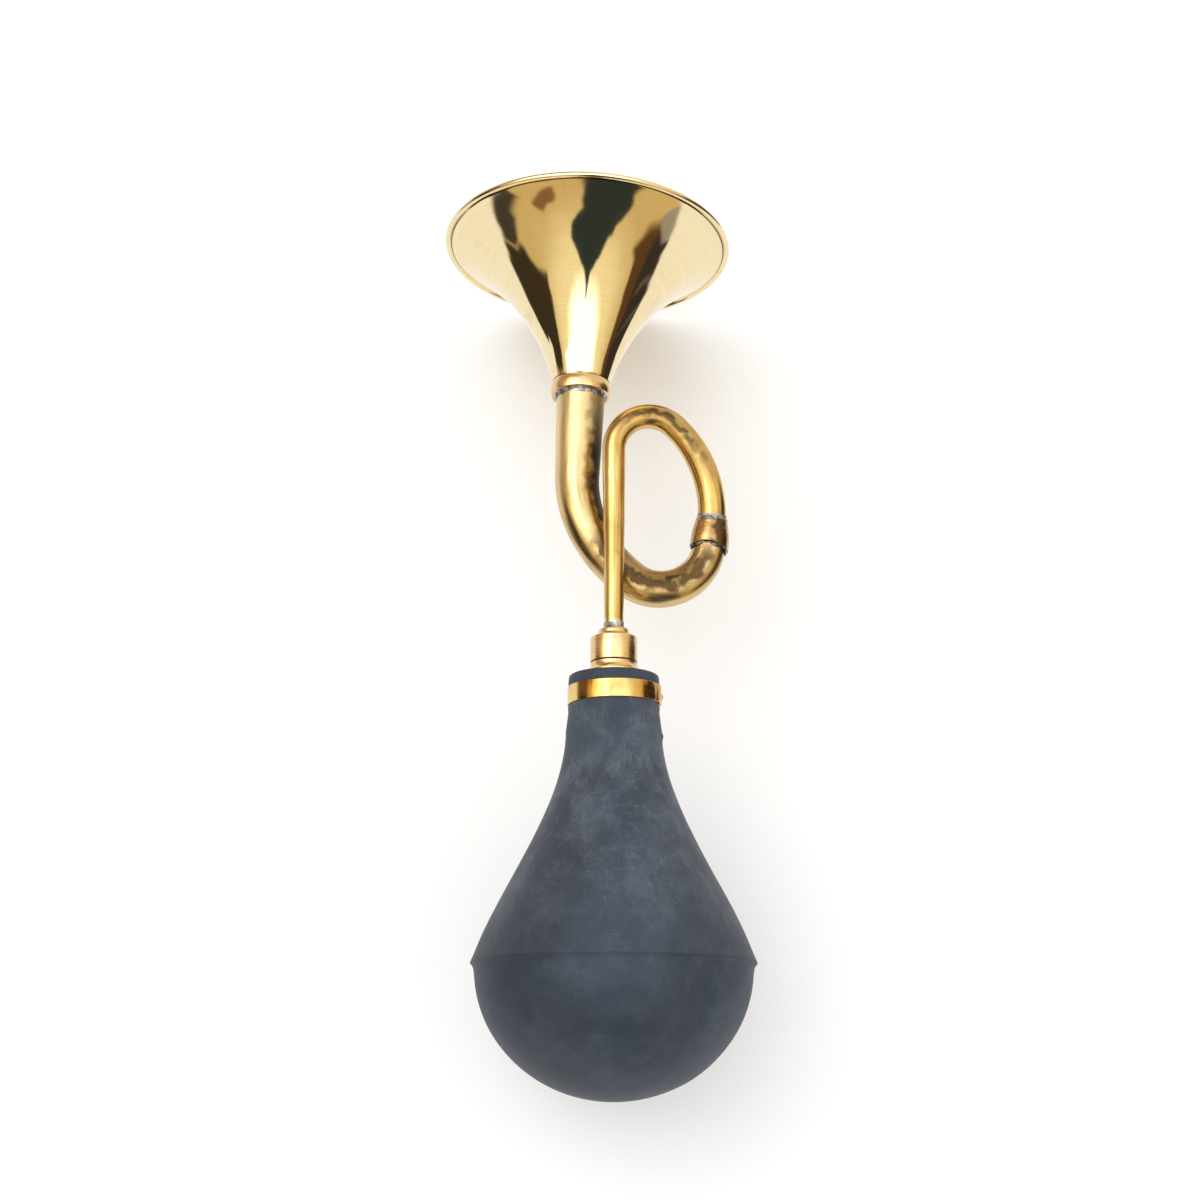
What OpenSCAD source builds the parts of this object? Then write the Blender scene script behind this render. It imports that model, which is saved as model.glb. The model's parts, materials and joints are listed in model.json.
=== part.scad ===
// Brass bulb horn with a looped tube and a rubber bulb, lying on its side.
// The bulb axis runs along +Y from the seam ridge of the bulb, and the loop lies to the right of it.

/* [Bulb] */
// Radius of the rubber bulb beside its seam ridge
bulb_r = 49.6; // [44:0.2:54]
// Length of the rear dome behind the seam ridge
dome_l = 46.2; // [38:0.2:54]
// Length of the front shoulder from the seam ridge to the neck
shoulder_l = 82.8; // [76:0.2:92]
// Length of the full belly in front of the seam ridge
belly_l = 19.8; // [14:0.2:26]
// How far the belly draws in over its length
belly_draw = 3.6; // [1:0.1:6]
// Length of the flare where the shoulder runs into the neck
flare_l = 30; // [20:0.5:40]
// Thickness of the rubber
rubber_t = 3; // [2:0.1:4]
// Height of the seam ridge above the bulb
seam_h = 1.5; // [1.3:0.1:2.5]
// Width of the seam ridge
seam_w = 2.4; // [1.6:0.1:4]
// Depth of the flat that the seam ridge gives under its own weight
rest_flat = 1.1; // [0.7:0.1:1.2]

/* [Neck] */
// Outer radius where the neck starts
neck_root_r = 17.6; // [17:0.1:20]
// Outer radius of the straight neck
neck_r = 16.6; // [15.5:0.1:17]
// Length over which the neck draws in
neck_draw_l = 8; // [5:0.5:12]
// Length of the straight neck
neck_l = 12.8; // [11.8:0.1:16]
// Rounding of the neck's top edge
neck_edge_r = 0.9; // [0.5:0.1:2]
// Thickness of the lip that closes over the plug
lip_t = 3; // [2:0.1:4]
// Width of the clamping band
band_w = 6.7; // [5:0.1:7.4]
// Thickness of the band's strip
band_t = 0.45; // [0.3:0.05:0.7]
// Distance from the top of the neck down to the band
band_drop = 4.2; // [2:0.1:4.6]
// Angle that the band's lapped end covers
lap_angle = 26; // [15:1:50]
// Turn of the lapped end about the bulb axis, from the right-hand side
lap_turn = -16; // [-60:1:20]
// Radius of the rivet head on the lapped end
rivet_r = 1.3; // [0.8:0.1:1.8]
// Height of the rivet head
rivet_h = 0.6; // [0.3:0.1:1]

/* [Union] */
// Radius of the plug that the rubber neck grips
plug_r = 12.4; // [11:0.1:13]
// Height of each barb on the plug
barb_h = 0.8; // [0.3:0.1:1.2]
// Radius of the bore through the plug
plug_bore_r = 4.6; // [4.2:0.1:5]
// Radius of the plug's waist in the rubber lip
waist_r = 9; // [8:0.1:9.4]
// Radius of the collar where it meets the rubber
collar_foot_r = 9.7; // [9.4:0.1:11]
// Radius of the collar under the washer
collar_r = 8.6; // [8:0.1:9]
// Length of the collar
collar_l = 4.9; // [3.5:0.1:6]
// Length over which the collar flares out to its foot
collar_flare_l = 2; // [1:0.1:3]
// Radius of the threaded spigot
thread_r = 6.5; // [6:0.1:7]
// Length of the threaded spigot
thread_l = 7.7; // [7:0.1:9]
// Thickness of the leather washer
washer_t = 0.5; // [0.4:0.1:1.2]
// Outer radius of the cap
cap_r = 8.7; // [8.2:0.1:9.6]
// Length of the cap's straight side
cap_l = 9.2; // [8.6:0.1:12]
// Height of the cap's sloping shoulder
cap_slope_h = 1.4; // [1:0.1:2]
// Height of the rounded boss on the cap's shoulder
cap_boss_h = 2.1; // [1.6:0.1:3]
// Radius of that boss
cap_boss_r = 5.4; // [5.2:0.1:6.4]
// Rounding of the boss
cap_boss_edge = 0.9; // [0.5:0.1:0.9]
// Radial clearance of the thread
thread_gap = 0.05; // [0.03:0.01:0.1]
// Clearance between pieces that are pressed or soldered together
seat_gap = 0.05; // [0.02:0.01:0.1]

/* [Reed] */
// Length of the shallot below the plug's wedge
shallot_l = 34; // [28:0.5:40]
// Outer radius of the shallot's body
shallot_r = 4; // [3.6:0.1:4.1]
// Radius of the shallot's air channel
channel_r = 2.9; // [2.4:0.1:3.1]
// Height of the shallot's flat face above the axis
flat_h = 0.6; // [0.2:0.1:1]
// Thickness of the solid end of the shallot
shallot_end_t = 2; // [1:0.1:3]
// Length of the wedge that clamps the tongue
wedge_l = 5; // [4:0.1:7]
// Depth of the wedge below the top of the plug body
wedge_drop = 0.6; // [0.4:0.1:2]
// Width of the tongue
tongue_w = 5.4; // [4.5:0.1:6]
// Thickness of the tongue
tongue_t = 0.3; // [0.2:0.05:0.5]
// Length of the free tongue
tongue_l = 31; // [24:0.5:33]
// Angle that the tongue stands open at rest
tongue_lift = 2; // [1.8:0.1:3]
// Length of the tongue's root under the wedge
tongue_root_l = 0.8; // [0.5:0.1:1.2]
// Clearance above and below the tongue's root
tongue_gap = 0.08; // [0.06:0.01:0.15]

/* [Tubes] */
// Outer radius of the stem tube at its foot
stem_foot_r = 3.45; // [3.1:0.05:3.8]
// Outer radius of the stem tube in the sleeve
stem_end_r = 5.45; // [5:0.05:5.8]
// Outer radius of the bend tube in the sleeve
bend_start_r = 6.2; // [5.9:0.05:6.4]
// Outer radius of the bend tube at the bell
bend_end_r = 9.5; // [8.8:0.05:9.8]
// Wall of both tubes
tube_t = 0.8; // [0.6:0.05:1]
// Depth that the stem tube seats in the cap
stem_seat = 4; // [3:0.1:4.4]
// Straight length of the stem tube above the cap
stem_rise = 70.4; // [60:0.1:85]
// Bend radius at the top of the loop
top_bend_r = 13.7; // [12.8:0.1:15.5]
// Turn at the top of the loop
top_turn = 133; // [128:1:137]
// Bend radius at the side of the loop
side_bend_r = 44.8; // [41:0.1:48]
// Turn at the side of the loop
side_turn = 53; // [49:1:57]
// Bend radius at the bottom of the loop
bottom_bend_r = 18.5; // [17:0.1:20]
// Turn at the bottom of the loop
bottom_turn = 120; // [115:1:124]
// Bend radius where the tube runs up to the bell
back_bend_r = 51.2; // [47:0.1:58]
// Turn where the tube runs up to the bell
back_turn = 56; // [52:1:60]
// Straight length before the bell
throat_rise = 32.8; // [24:0.1:44]
// How far the loop drops to pass under the stem
loop_drop = 11.9; // [11.8:0.1:15]
// Downward slope of the bell
bell_droop = 5; // [3:0.1:8]

/* [Sleeve] */
// Length of the sleeve that joins the two tubes
sleeve_l = 11; // [9:0.1:14]
// Outer radius of the sleeve
sleeve_r = 7.4; // [7.2:0.05:8.5]
// Straight length of the tubes at the sleeve
sleeve_run = 8; // [7:0.1:12]
// Radius of the sleeve's narrow end
sleeve_end_r = 6.1; // [5.95:0.05:6.8]
// Length of each solder fillet on the sleeve
sleeve_fillet_l = 1.5; // [0.8:0.1:2.5]

/* [Bell] */
// Outer radius of the bell's rim
rim_r = 57; // [50:0.2:64]
// Length of the bell from the throat ring to the rim
bell_l = 60.5; // [54:0.1:70]
// Outer radius of the bell at the throat ring
bell_throat_r = 11.2; // [10.8:0.1:11.4]
// Wall of the bell
bell_t = 0.6; // [0.5:0.05:0.6]
// Length of the bell's narrow stretch
bell_neck_l = 21.2; // [15:0.1:28]
// How far the narrow stretch opens
bell_neck_flare = 5; // [3:0.1:8]
// Length of the flare at the rim
bell_flare_l = 14; // [9:0.1:19]
// How far the bell is drawn in behind the rim
bell_flare_draw = 24; // [18:0.2:28]
// Radius of the rim's wire
wire_r = 0.65; // [0.65:0.05:0.9]
// Thickness of the hem round the wire
hem_t = 0.35; // [0.35:0.05:0.6]
// Length of the throat ring
ring_l = 5.2; // [3.5:0.1:7]
// Outer radius of the throat ring at its edges
ring_r = 11.4; // [11.2:0.1:12.4]
// Swell of the throat ring
ring_swell = 0.4; // [0.1:0.05:1]
// Length of the solder behind the throat ring
throat_fillet_l = 2; // [1:0.1:4]
// Outer radius of that solder at the ring
throat_fillet_r = 10.5; // [10.2:0.1:11]

/* [Hidden] */
$fn = 96;

brass = "#b08b45";
red_brass = "#a87b3c";
tin = "#8f8d84";
rubber = "#434a54";
leather = "#2f2620";

// Stations along the bulb axis, measured from the middle of the seam ridge
seam_front = seam_w / 2;
seam_r = bulb_r + seam_h;
neck_root = seam_front + shoulder_l;
neck_start = neck_root + neck_draw_l;
neck_top = neck_start + neck_l;
lip_bottom = neck_top - lip_t;
band_top = neck_top - band_drop;
collar_top = neck_top + collar_l;
washer_top = collar_top + washer_t;
cap_shoulder = washer_top + cap_l;
cap_boss_foot = cap_shoulder + cap_slope_h;
cap_top = cap_boss_foot + cap_boss_h;
stem_foot = cap_top - stem_seat;
cap_roof_t = 0.6;
cap_roof = stem_foot - cap_roof_t;
thread_end_gap = 0.6;
thread_end = min(collar_top + thread_l, cap_roof - thread_end_gap);
wedge_top = lip_bottom - wedge_drop;
wedge_bottom = wedge_top - wedge_l;
shallot_bottom = wedge_bottom - shallot_l;

// Lengths along the tube, measured from the foot of the stem
function arc_l(r, turn) = PI * r * turn / 180;
runs = [
    [stem_seat + stem_rise, 0],
    [arc_l(top_bend_r, top_turn), top_turn],
    [arc_l(side_bend_r, side_turn), side_turn],
    [sleeve_run, 0],
    [arc_l(bottom_bend_r, bottom_turn), bottom_turn],
    [arc_l(back_bend_r, back_turn), back_turn],
    [throat_rise, 0]];
function run_start(n) = n == 0 ? 0 : run_start(n - 1) + runs[n - 1][0];
loop_start = run_start(1);
sleeve_start = run_start(3);
sleeve_mid = sleeve_start + sleeve_run / 2;
sleeve_end = run_start(4);
back_start = run_start(5);
throat_start = run_start(6);
tube_end = run_start(7);
ring_seat = ring_l - 0.3;

// Plan of the tube: place and heading after a length l of one run, heading clockwise from +Y
function arc_end(p, l, turn) = turn == 0
    ? [p.x + l * sin(p.z), p.y + l * cos(p.z), p.z]
    : let (r = l * 180 / (PI * turn), to = p.z + turn)
        [p.x + r * (cos(p.z) - cos(to)), p.y + r * (sin(to) - sin(p.z)), to];
function run_place(n) = n == 0
    ? [0, stem_foot, 0]
    : arc_end(run_place(n - 1), runs[n - 1][0], runs[n - 1][1]);
run_places = [for (n = [0:len(runs) - 1]) run_place(n)];
function plan(l, n = 0) = l <= runs[n][0] || n == len(runs) - 1
    ? arc_end(run_places[n], l, runs[n][1] * l / runs[n][0])
    : plan(l - runs[n][0], n + 1);

// Height of the tube: level stem, a smooth drop round the loop, then a slope down into the bell
function smooth(u) = u <= 0 ? 0 : u >= 1 ? 1 : u * u * (3 - 2 * u);
function slope_l(l) = let (b = throat_start - back_start, u = l - back_start)
    u <= 0 ? 0 : u < b ? u * u / (2 * b) : u - b / 2;
function height(l) = -loop_drop * smooth((l - loop_start) / (back_start - loop_start))
    - tan(bell_droop) * slope_l(l);
function path(l) = let (p = plan(l)) [p.x, p.y, height(l)];
function unit(v) = v / norm(v);
function tangent(l) = unit(path(l + 0.05) - path(l - 0.05));
function stem_r(l) = stem_foot_r + (stem_end_r - stem_foot_r) * l / sleeve_mid;
function bend_r(l) = bend_start_r + (bend_end_r - bend_start_r) * (l - sleeve_mid) / (tube_end - sleeve_mid);

// Placing the horn so that the seam ridge and the rim touch the surface it lies on
bell_heading = unit(tangent(tube_end));
rim_place = path(tube_end) + bell_heading * (ring_l + bell_l);
rim_level = sqrt(1 - bell_heading.z * bell_heading.z);
rim_low = [for (i = [0:2]) rim_place[i] + (i == 2 ? -rim_r * rim_level
    : rim_r * bell_heading[i] * bell_heading.z / rim_level)];
seat_r = seam_r - rest_flat;
rest_tilt = -atan2(rim_low.z + seat_r, rim_low.y);
rim_half_x = rim_r * sqrt(1 - bell_heading.x * bell_heading.x);
box_left = min(-seam_r, rim_place.x - rim_half_x);
box_right = max(seam_r, rim_place.x + rim_half_x);
rear_l = dome_l + seam_front;
rear_reach = sqrt(pow(rear_l * cos(rest_tilt), 2) + pow(bulb_r * sin(rest_tilt), 2));
rim_tilted_y = bell_heading.y * cos(rest_tilt) - bell_heading.z * sin(rest_tilt);
hem_r = wire_r + seat_gap + hem_t;
front_reach = rim_place.y * cos(rest_tilt) - rim_place.z * sin(rest_tilt)
    + (rim_r - hem_r) * sqrt(1 - rim_tilted_y * rim_tilted_y) + hem_r;
horn_place = [-(box_left + box_right) / 2, (rear_reach - front_reach) / 2, seat_r * cos(rest_tilt)];

module place() translate(horn_place) rotate([rest_tilt, 0, 0]) children();
module along_axis(s = 0) translate([0, s, 0]) rotate([-90, 0, 0]) children();
module along_tube(l) {
    d = tangent(l);
    translate(path(l)) rotate([0, acos(d.z), atan2(d.y, d.x)]) children();
}

function bezier(a, b, c, d, u) = a * pow(1 - u, 3) + b * 3 * u * pow(1 - u, 2)
    + c * 3 * u * u * (1 - u) + d * pow(u, 3);
function quarter(centre, rx, ry, from, to, steps = 12) = [for (i = [0:steps])
    let (a = from + (to - from) * i / steps) centre + [rx * cos(a), ry * sin(a)]];

// A tapered tube swept along the path through the given stations
sides = 24;
module swept_tube(stations, radii, wall) {
    count = len(stations);
    function ring(i, r) = let (
            p = path(stations[i]),
            t = tangent(stations[i]),
            n = unit(cross(t, [0, 0, 1])),
            b = cross(n, t))
        [for (k = [0:sides - 1]) p + r * (cos(k * 360 / sides) * n + sin(k * 360 / sides) * b)];
    points = concat(
        [for (i = [0:count - 1]) each ring(i, radii[i])],
        [for (i = [0:count - 1]) each ring(i, radii[i] - wall)]);
    function outer(i, k) = i * sides + k % sides;
    function inner(i, k) = (count + i) * sides + k % sides;
    skin = [for (i = [0:count - 2]) for (k = [0:sides - 1]) each [
        [outer(i, k), outer(i, k + 1), outer(i + 1, k + 1)],
        [outer(i, k), outer(i + 1, k + 1), outer(i + 1, k)],
        [inner(i, k), inner(i + 1, k + 1), inner(i, k + 1)],
        [inner(i, k), inner(i + 1, k), inner(i + 1, k + 1)]]];
    last = count - 1;
    ends = [for (k = [0:sides - 1]) each [
        [outer(0, k), inner(0, k), inner(0, k + 1)],
        [outer(0, k), inner(0, k + 1), outer(0, k + 1)],
        [outer(last, k), inner(last, k + 1), inner(last, k)],
        [outer(last, k), outer(last, k + 1), inner(last, k + 1)]]];
    polyhedron(points, concat(skin, ends));
}
step_turn = 8;
function run_steps(n) = max(1, ceil(runs[n][1] / step_turn));
function run_stations(n) = [for (i = [1:run_steps(n)]) run_start(n) + runs[n][0] * i / run_steps(n)];

// Brass bell with its mouth along the end of the tube
function bell_point(u) = bezier([bell_throat_r, 0], [bell_throat_r + bell_neck_flare, bell_neck_l],
    [rim_r - hem_r - bell_flare_draw, bell_l - bell_flare_l], [rim_r - hem_r, bell_l], u);
bell_steps = 20;
module bell_frame(u = 0) along_tube(tube_end) translate([0, 0, u]) children();
module bell() color(brass) place() bell_frame(ring_l) difference() {
    union() {
        rotate_extrude() polygon(concat(
            [for (i = [0:bell_steps]) bell_point(i / bell_steps)],
            [for (i = [bell_steps:-1:0]) bell_point(i / bell_steps) - [bell_t, 0]]));
        rotate_extrude() translate([rim_r - hem_r, bell_l]) circle(hem_r);
    }
    rotate_extrude() translate([rim_r - hem_r, bell_l]) circle(wire_r + seat_gap);
}

module rim_wire() color(tin) place() bell_frame(ring_l + bell_l)
    rotate_extrude() translate([rim_r - hem_r, 0]) circle(wire_r);

module throat_ring() color(red_brass) place() bell_frame() rotate_extrude() polygon(concat(
    [[bend_end_r + seat_gap, 0]],
    [for (i = [0:8]) [ring_r + ring_swell * sin(180 * i / 8), ring_l * i / 8]],
    [[bend_end_r + seat_gap, ring_l]]));

module throat_solder() color(tin) place() bell_frame(-throat_fillet_l) rotate_extrude() polygon([
    [bend_end_r + seat_gap, 0], [bend_end_r + 3 * seat_gap, 0],
    [(bend_end_r + throat_fillet_r) / 2, throat_fillet_l * 0.7],
    [throat_fillet_r, throat_fillet_l], [bend_end_r + seat_gap, throat_fillet_l]]);

// Thick tube from the sleeve under the stem to the bell
module bend_tube() color(brass) place() {
    stations = concat([sleeve_mid + seat_gap, sleeve_end], run_stations(4), run_stations(5),
        run_stations(6), [tube_end + ring_seat]);
    swept_tube(stations, [for (l = stations) min(bend_end_r, bend_r(l))], tube_t);
}

// Thin tube from the cap over the top of the loop to the sleeve
module stem_tube() color(brass) place() {
    stations = concat([0], run_stations(0), run_stations(1), run_stations(2), [sleeve_mid - seat_gap]);
    swept_tube(stations, [for (l = stations) stem_r(l)], tube_t);
}

// How far a tube has left the sleeve's axis at a distance d from its middle, in a bend of radius r
function leave(d, r) = pow(max(0, d - sleeve_run / 2), 2) / (2 * r);
sleeve_reach = sleeve_l / 2;
fillet_reach = sleeve_reach + sleeve_fillet_l;
sleeve_bend_bore = bend_r(sleeve_mid + sleeve_reach) + leave(sleeve_reach, bottom_bend_r) + 2 * seat_gap;
sleeve_stem_bore = stem_end_r + seat_gap;
module loop_sleeve() color(red_brass) place() along_tube(sleeve_mid) rotate_extrude() polygon(concat(
    [[sleeve_stem_bore, 0], [sleeve_stem_bore, -sleeve_reach]],
    [for (i = [0:8]) [sleeve_end_r + (sleeve_r - sleeve_end_r) * sin(90 * i / 8),
        sleeve_l * (i / 10 - 0.5)]],
    [[sleeve_r, sleeve_reach], [sleeve_bend_bore, sleeve_reach], [sleeve_bend_bore, 0]]));

module fillet(bore, r_wide, r_thin, l) rotate_extrude() polygon([
    [bore, 0], [r_wide, 0], [(r_wide + 2 * r_thin) / 3, l / 2], [r_thin, l], [bore, l]]);

sleeve_top_bore = stem_r(sleeve_mid - fillet_reach) + leave(fillet_reach, side_bend_r) + 2 * seat_gap;
module sleeve_solder_upper() color(tin) place() along_tube(sleeve_mid) translate([0, 0, -sleeve_reach])
    mirror([0, 0, 1]) fillet(sleeve_top_bore, sleeve_end_r, sleeve_top_bore + seat_gap, sleeve_fillet_l);

sleeve_low_bore = bend_r(sleeve_mid + fillet_reach) + leave(fillet_reach, bottom_bend_r) + 4 * seat_gap;
module sleeve_solder_lower() color(tin) place() along_tube(sleeve_mid) translate([0, 0, sleeve_reach])
    fillet(sleeve_low_bore, sleeve_r, sleeve_low_bore + seat_gap, sleeve_fillet_l);

stem_fillet_l = 3;
stem_fillet_r = stem_foot_r + 0.5;
stem_bore_r = stem_r(stem_seat + stem_fillet_l) + seat_gap;
module stem_solder() color(tin) place() along_axis(cap_top)
    fillet(stem_bore_r, stem_fillet_r, stem_bore_r + 2 * seat_gap, stem_fillet_l);

// Stepped cap on the foot of the stem, threaded inside for the plug's spigot
module reed_cap() color(brass) place() along_axis() difference() {
    rotate_extrude() polygon(concat(
        [[0, washer_top], [cap_r, washer_top], [cap_r, cap_shoulder], [cap_boss_r, cap_boss_foot]],
        quarter([cap_boss_r - cap_boss_edge, cap_top - cap_boss_edge], cap_boss_edge, cap_boss_edge, 0, 90, 6),
        [[0, cap_top]]));
    translate([0, 0, washer_top - 1]) cylinder(r = thread_r + thread_gap, h = cap_roof - washer_top + 1);
    translate([0, 0, cap_roof - 1]) cylinder(r = stem_foot_r - tube_t, h = cap_top - cap_roof + 2);
    translate([0, 0, stem_foot - seat_gap]) cylinder(r = stem_bore_r, h = stem_seat + 1);
}

module union_washer() color(leather) place() along_axis(collar_top) difference() {
    cylinder(r = cap_r, h = washer_t);
    translate([0, 0, -1]) cylinder(r = thread_r + thread_gap, h = washer_t + 2);
}

// Barbed plug in the rubber neck, with a flared collar and the threaded spigot
barb_count = 3;
barb_l = (lip_bottom - neck_root) / barb_count;
module neck_plug() color(brass) place() along_axis() rotate_extrude() polygon(concat(
    [[plug_bore_r, neck_root]],
    [for (i = [0:barb_count - 1]) each [[plug_r - barb_h, neck_root + i * barb_l],
        [plug_r, neck_root + (i + 0.7) * barb_l], [plug_r, neck_root + (i + 1) * barb_l]]],
    [[waist_r, lip_bottom], [waist_r, neck_top], [collar_foot_r, neck_top]],
    quarter([collar_foot_r, collar_top], collar_r - collar_foot_r, -collar_flare_l, 90, 0, 8),
    [[thread_r, collar_top], [thread_r, thread_end], [plug_bore_r, thread_end]]));

// Half-round brass shallot under the tongue, with an air channel in its flat face
module half_round(r, from, l) along_axis(from) intersection() {
    cylinder(r = r, h = l);
    translate([-r, -flat_h, 0]) cube([2 * r, r + flat_h, l]);
}
module reed_shallot() color(red_brass) place() difference() {
    union() {
        half_round(plug_bore_r - seat_gap, wedge_bottom, wedge_l);
        half_round(shallot_r, shallot_bottom, shallot_l + 1);
    }
    along_axis(shallot_bottom + shallot_end_t) cylinder(r = channel_r, h = shallot_l + wedge_l);
}

// Thin brass tongue, standing slightly open, that turns about the edge of the wedge
module reed_tongue() color("#c29a4e") place()
    translate([0, wedge_bottom, flat_h + tongue_gap + tongue_t / 2]) {
        translate([-tongue_w / 2, -tongue_gap, -tongue_t / 2])
            cube([tongue_w, tongue_root_l + tongue_gap, tongue_t]);
        rotate([-tongue_lift, 0, 0]) translate([-tongue_w / 2, -tongue_l, -tongue_t / 2])
            cube([tongue_w, tongue_l, tongue_t]);
    }

// Wedge that closes the top half of the plug's bore over the tongue's root
tongue_room = tongue_t + 2 * tongue_gap;
module reed_wedge() color("#7b5a36") place() difference() {
    along_axis(wedge_bottom) intersection() {
        cylinder(r = plug_bore_r - seat_gap, h = wedge_l);
        translate([-plug_bore_r, -plug_bore_r, -1])
            cube([2 * plug_bore_r, plug_bore_r - flat_h, wedge_l + 2]);
    }
    translate([-plug_bore_r, wedge_bottom - 1, flat_h - 1])
        cube([2 * plug_bore_r, 1 + tongue_root_l + tongue_gap, 1 + tongue_room]);
}

// Brass band round the rubber neck, its end lapped over and riveted
band_r = neck_r + seat_gap;
module lap(r_in, r_out, angle) rotate_extrude(angle = angle) translate([r_in, 0]) square([r_out - r_in, band_w]);
module neck_band() color(brass) place() along_axis(band_top - band_w) {
    difference() {
        cylinder(r = band_r + band_t, h = band_w);
        translate([0, 0, -1]) cylinder(r = band_r, h = band_w + 2);
    }
    rotate([0, 0, lap_turn]) lap(band_r + band_t / 2, band_r + 2 * band_t, lap_angle);
}

module band_rivet() color(red_brass) place() along_axis(band_top - band_w / 2)
    rotate([0, 0, lap_turn + lap_angle / 2]) translate([band_r + 2 * band_t, 0, 0]) rotate([0, 90, 0])
        rotate_extrude() polygon(concat([[0, 0]], quarter([0, 0], rivet_r, rivet_h, 0, 90, 8)));

// Front half of the rubber bulb: shoulder, neck and the lip over the plug
function shoulder(u) = bezier([bulb_r, seam_front], [bulb_r - belly_draw, seam_front + belly_l],
    [neck_root_r, neck_root - flare_l], [neck_root_r, neck_root], u);
shoulder_steps = 16;
plug_room_r = plug_r + seat_gap;
module bulb_front() color(rubber) place() along_axis() rotate_extrude() polygon(concat(
    [for (i = [0:shoulder_steps]) shoulder(i / shoulder_steps)],
    [[neck_r, neck_start]],
    quarter([neck_r - neck_edge_r, neck_top - neck_edge_r], neck_edge_r, neck_edge_r, 0, 90, 6),
    [[waist_r + seat_gap, neck_top], [waist_r + seat_gap, lip_bottom], [plug_room_r, lip_bottom],
        [plug_room_r, neck_root]],
    [for (i = [shoulder_steps:-1:0]) shoulder(i / shoulder_steps) - [rubber_t, 0]]));

// Rear half of the rubber bulb: dome and seam ridge, flattened a little where it lies
module bulb_rear() color(rubber) difference() {
    place() along_axis() {
        rotate_extrude() polygon(concat(
            [[bulb_r - rubber_t, seam_front]],
            [[bulb_r - rubber_t, -seam_front]],
            quarter([0, -seam_front], bulb_r - rubber_t, rubber_t - dome_l, 0, 90, 16),
            quarter([0, -seam_front], bulb_r, -dome_l, 90, 0, 16),
            quarter([bulb_r, 0], seam_h, seam_front, -90, 90, 12)));
    }
    translate([-seam_r + horn_place.x, -seam_r + horn_place.y, -seam_r])
        cube([2 * seam_r, 2 * seam_r, seam_r]);
}

bell();
rim_wire();
throat_ring();
throat_solder();
bend_tube();
loop_sleeve();
sleeve_solder_upper();
sleeve_solder_lower();
stem_tube();
stem_solder();
reed_cap();
union_washer();
neck_plug();
reed_shallot();
reed_tongue();
reed_wedge();
neck_band();
band_rivet();
bulb_front();
bulb_rear();
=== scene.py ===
"""Brass bulb horn: the visible surfaces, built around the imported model."""
import json
import math
from collections import namedtuple

import bpy
import numpy as np
from mathutils import Matrix, Vector, noise


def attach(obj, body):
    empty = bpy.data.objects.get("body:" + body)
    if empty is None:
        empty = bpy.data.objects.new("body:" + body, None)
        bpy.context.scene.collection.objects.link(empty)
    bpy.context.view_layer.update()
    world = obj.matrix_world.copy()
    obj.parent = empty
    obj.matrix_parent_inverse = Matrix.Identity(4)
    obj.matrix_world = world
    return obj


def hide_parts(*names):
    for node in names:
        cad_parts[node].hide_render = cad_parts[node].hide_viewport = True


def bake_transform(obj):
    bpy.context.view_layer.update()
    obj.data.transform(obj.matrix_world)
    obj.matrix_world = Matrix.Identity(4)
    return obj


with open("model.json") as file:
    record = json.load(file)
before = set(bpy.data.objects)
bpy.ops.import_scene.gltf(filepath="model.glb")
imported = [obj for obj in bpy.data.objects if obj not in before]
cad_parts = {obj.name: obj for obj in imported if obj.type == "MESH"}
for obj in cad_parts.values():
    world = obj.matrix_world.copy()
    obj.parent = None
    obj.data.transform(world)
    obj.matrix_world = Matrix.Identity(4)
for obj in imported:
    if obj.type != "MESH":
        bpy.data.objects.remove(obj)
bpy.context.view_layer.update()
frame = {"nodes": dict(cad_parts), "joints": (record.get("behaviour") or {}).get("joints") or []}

# Sizes of the horn in millimetres, as in the part's source, with the cap's boss a little fuller
MM, UV_PER_MM, TINY = 0.001, 0.01, 1e-6
BULB_R, DOME_L, BELLY_L, BELLY_DRAW, FLARE_L = 49.6, 46.2, 19.8, 3.6, 30.0
RUBBER_T, SEAM_H, SEAM_W = 3.0, 1.5, 2.4
NECK_ROOT, NECK_ROOT_R, NECK_START, NECK_R = 84.0, 17.6, 92.0, 16.6
NECK_TOP, NECK_EDGE_R, LIP_BOTTOM = 104.8, 0.9, 101.8
BAND_TOP, BAND_W, BAND_T, LAP_TURN, LAP_ANGLE = 100.6, 6.7, 0.45, -16.0, 26.0
RIVET_R, RIVET_H = 1.3, 0.6
PLUG_R, PLUG_BORE_R, BARB_H, WAIST_R = 12.4, 4.6, 0.8, 9.0
COLLAR_FOOT_R, COLLAR_R, COLLAR_FLARE_L, COLLAR_TOP = 9.7, 8.6, 2.0, 109.7
THREAD_R, THREAD_END, THREAD_PITCH = 6.5, 117.4, 1.5
WASHER_TOP = 110.2
CAP_R, CAP_SHOULDER, CAP_TOP, CAP_ROOF = 8.7, 119.4, 122.9, 118.3
CAP_SLOPE_H, CAP_BOSS_R, CAP_BOSS_EDGE = 1.4, 5.7, 1.2
STEM_FOOT, STEM_SEAT, STEM_RISE = 118.9, 4.0, 70.4
STEM_FOOT_R, STEM_END_R, BEND_START_R, BEND_END_R, TUBE_T = 3.45, 5.45, 6.2, 9.5, 0.8
TOP_R, TOP_TURN, SIDE_R, SIDE_TURN = 13.7, 133.0, 44.8, 53.0
BOTTOM_R, BOTTOM_TURN, BACK_R, BACK_TURN = 18.5, 120.0, 51.2, 56.0
SLEEVE_RUN, THROAT_RISE, LOOP_DROP, BELL_DROOP = 8.0, 32.8, 11.9, 5.0
SLEEVE_L, SLEEVE_R, SLEEVE_END_R, SLEEVE_FILLET_L = 11.0, 7.4, 6.1, 1.5
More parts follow.
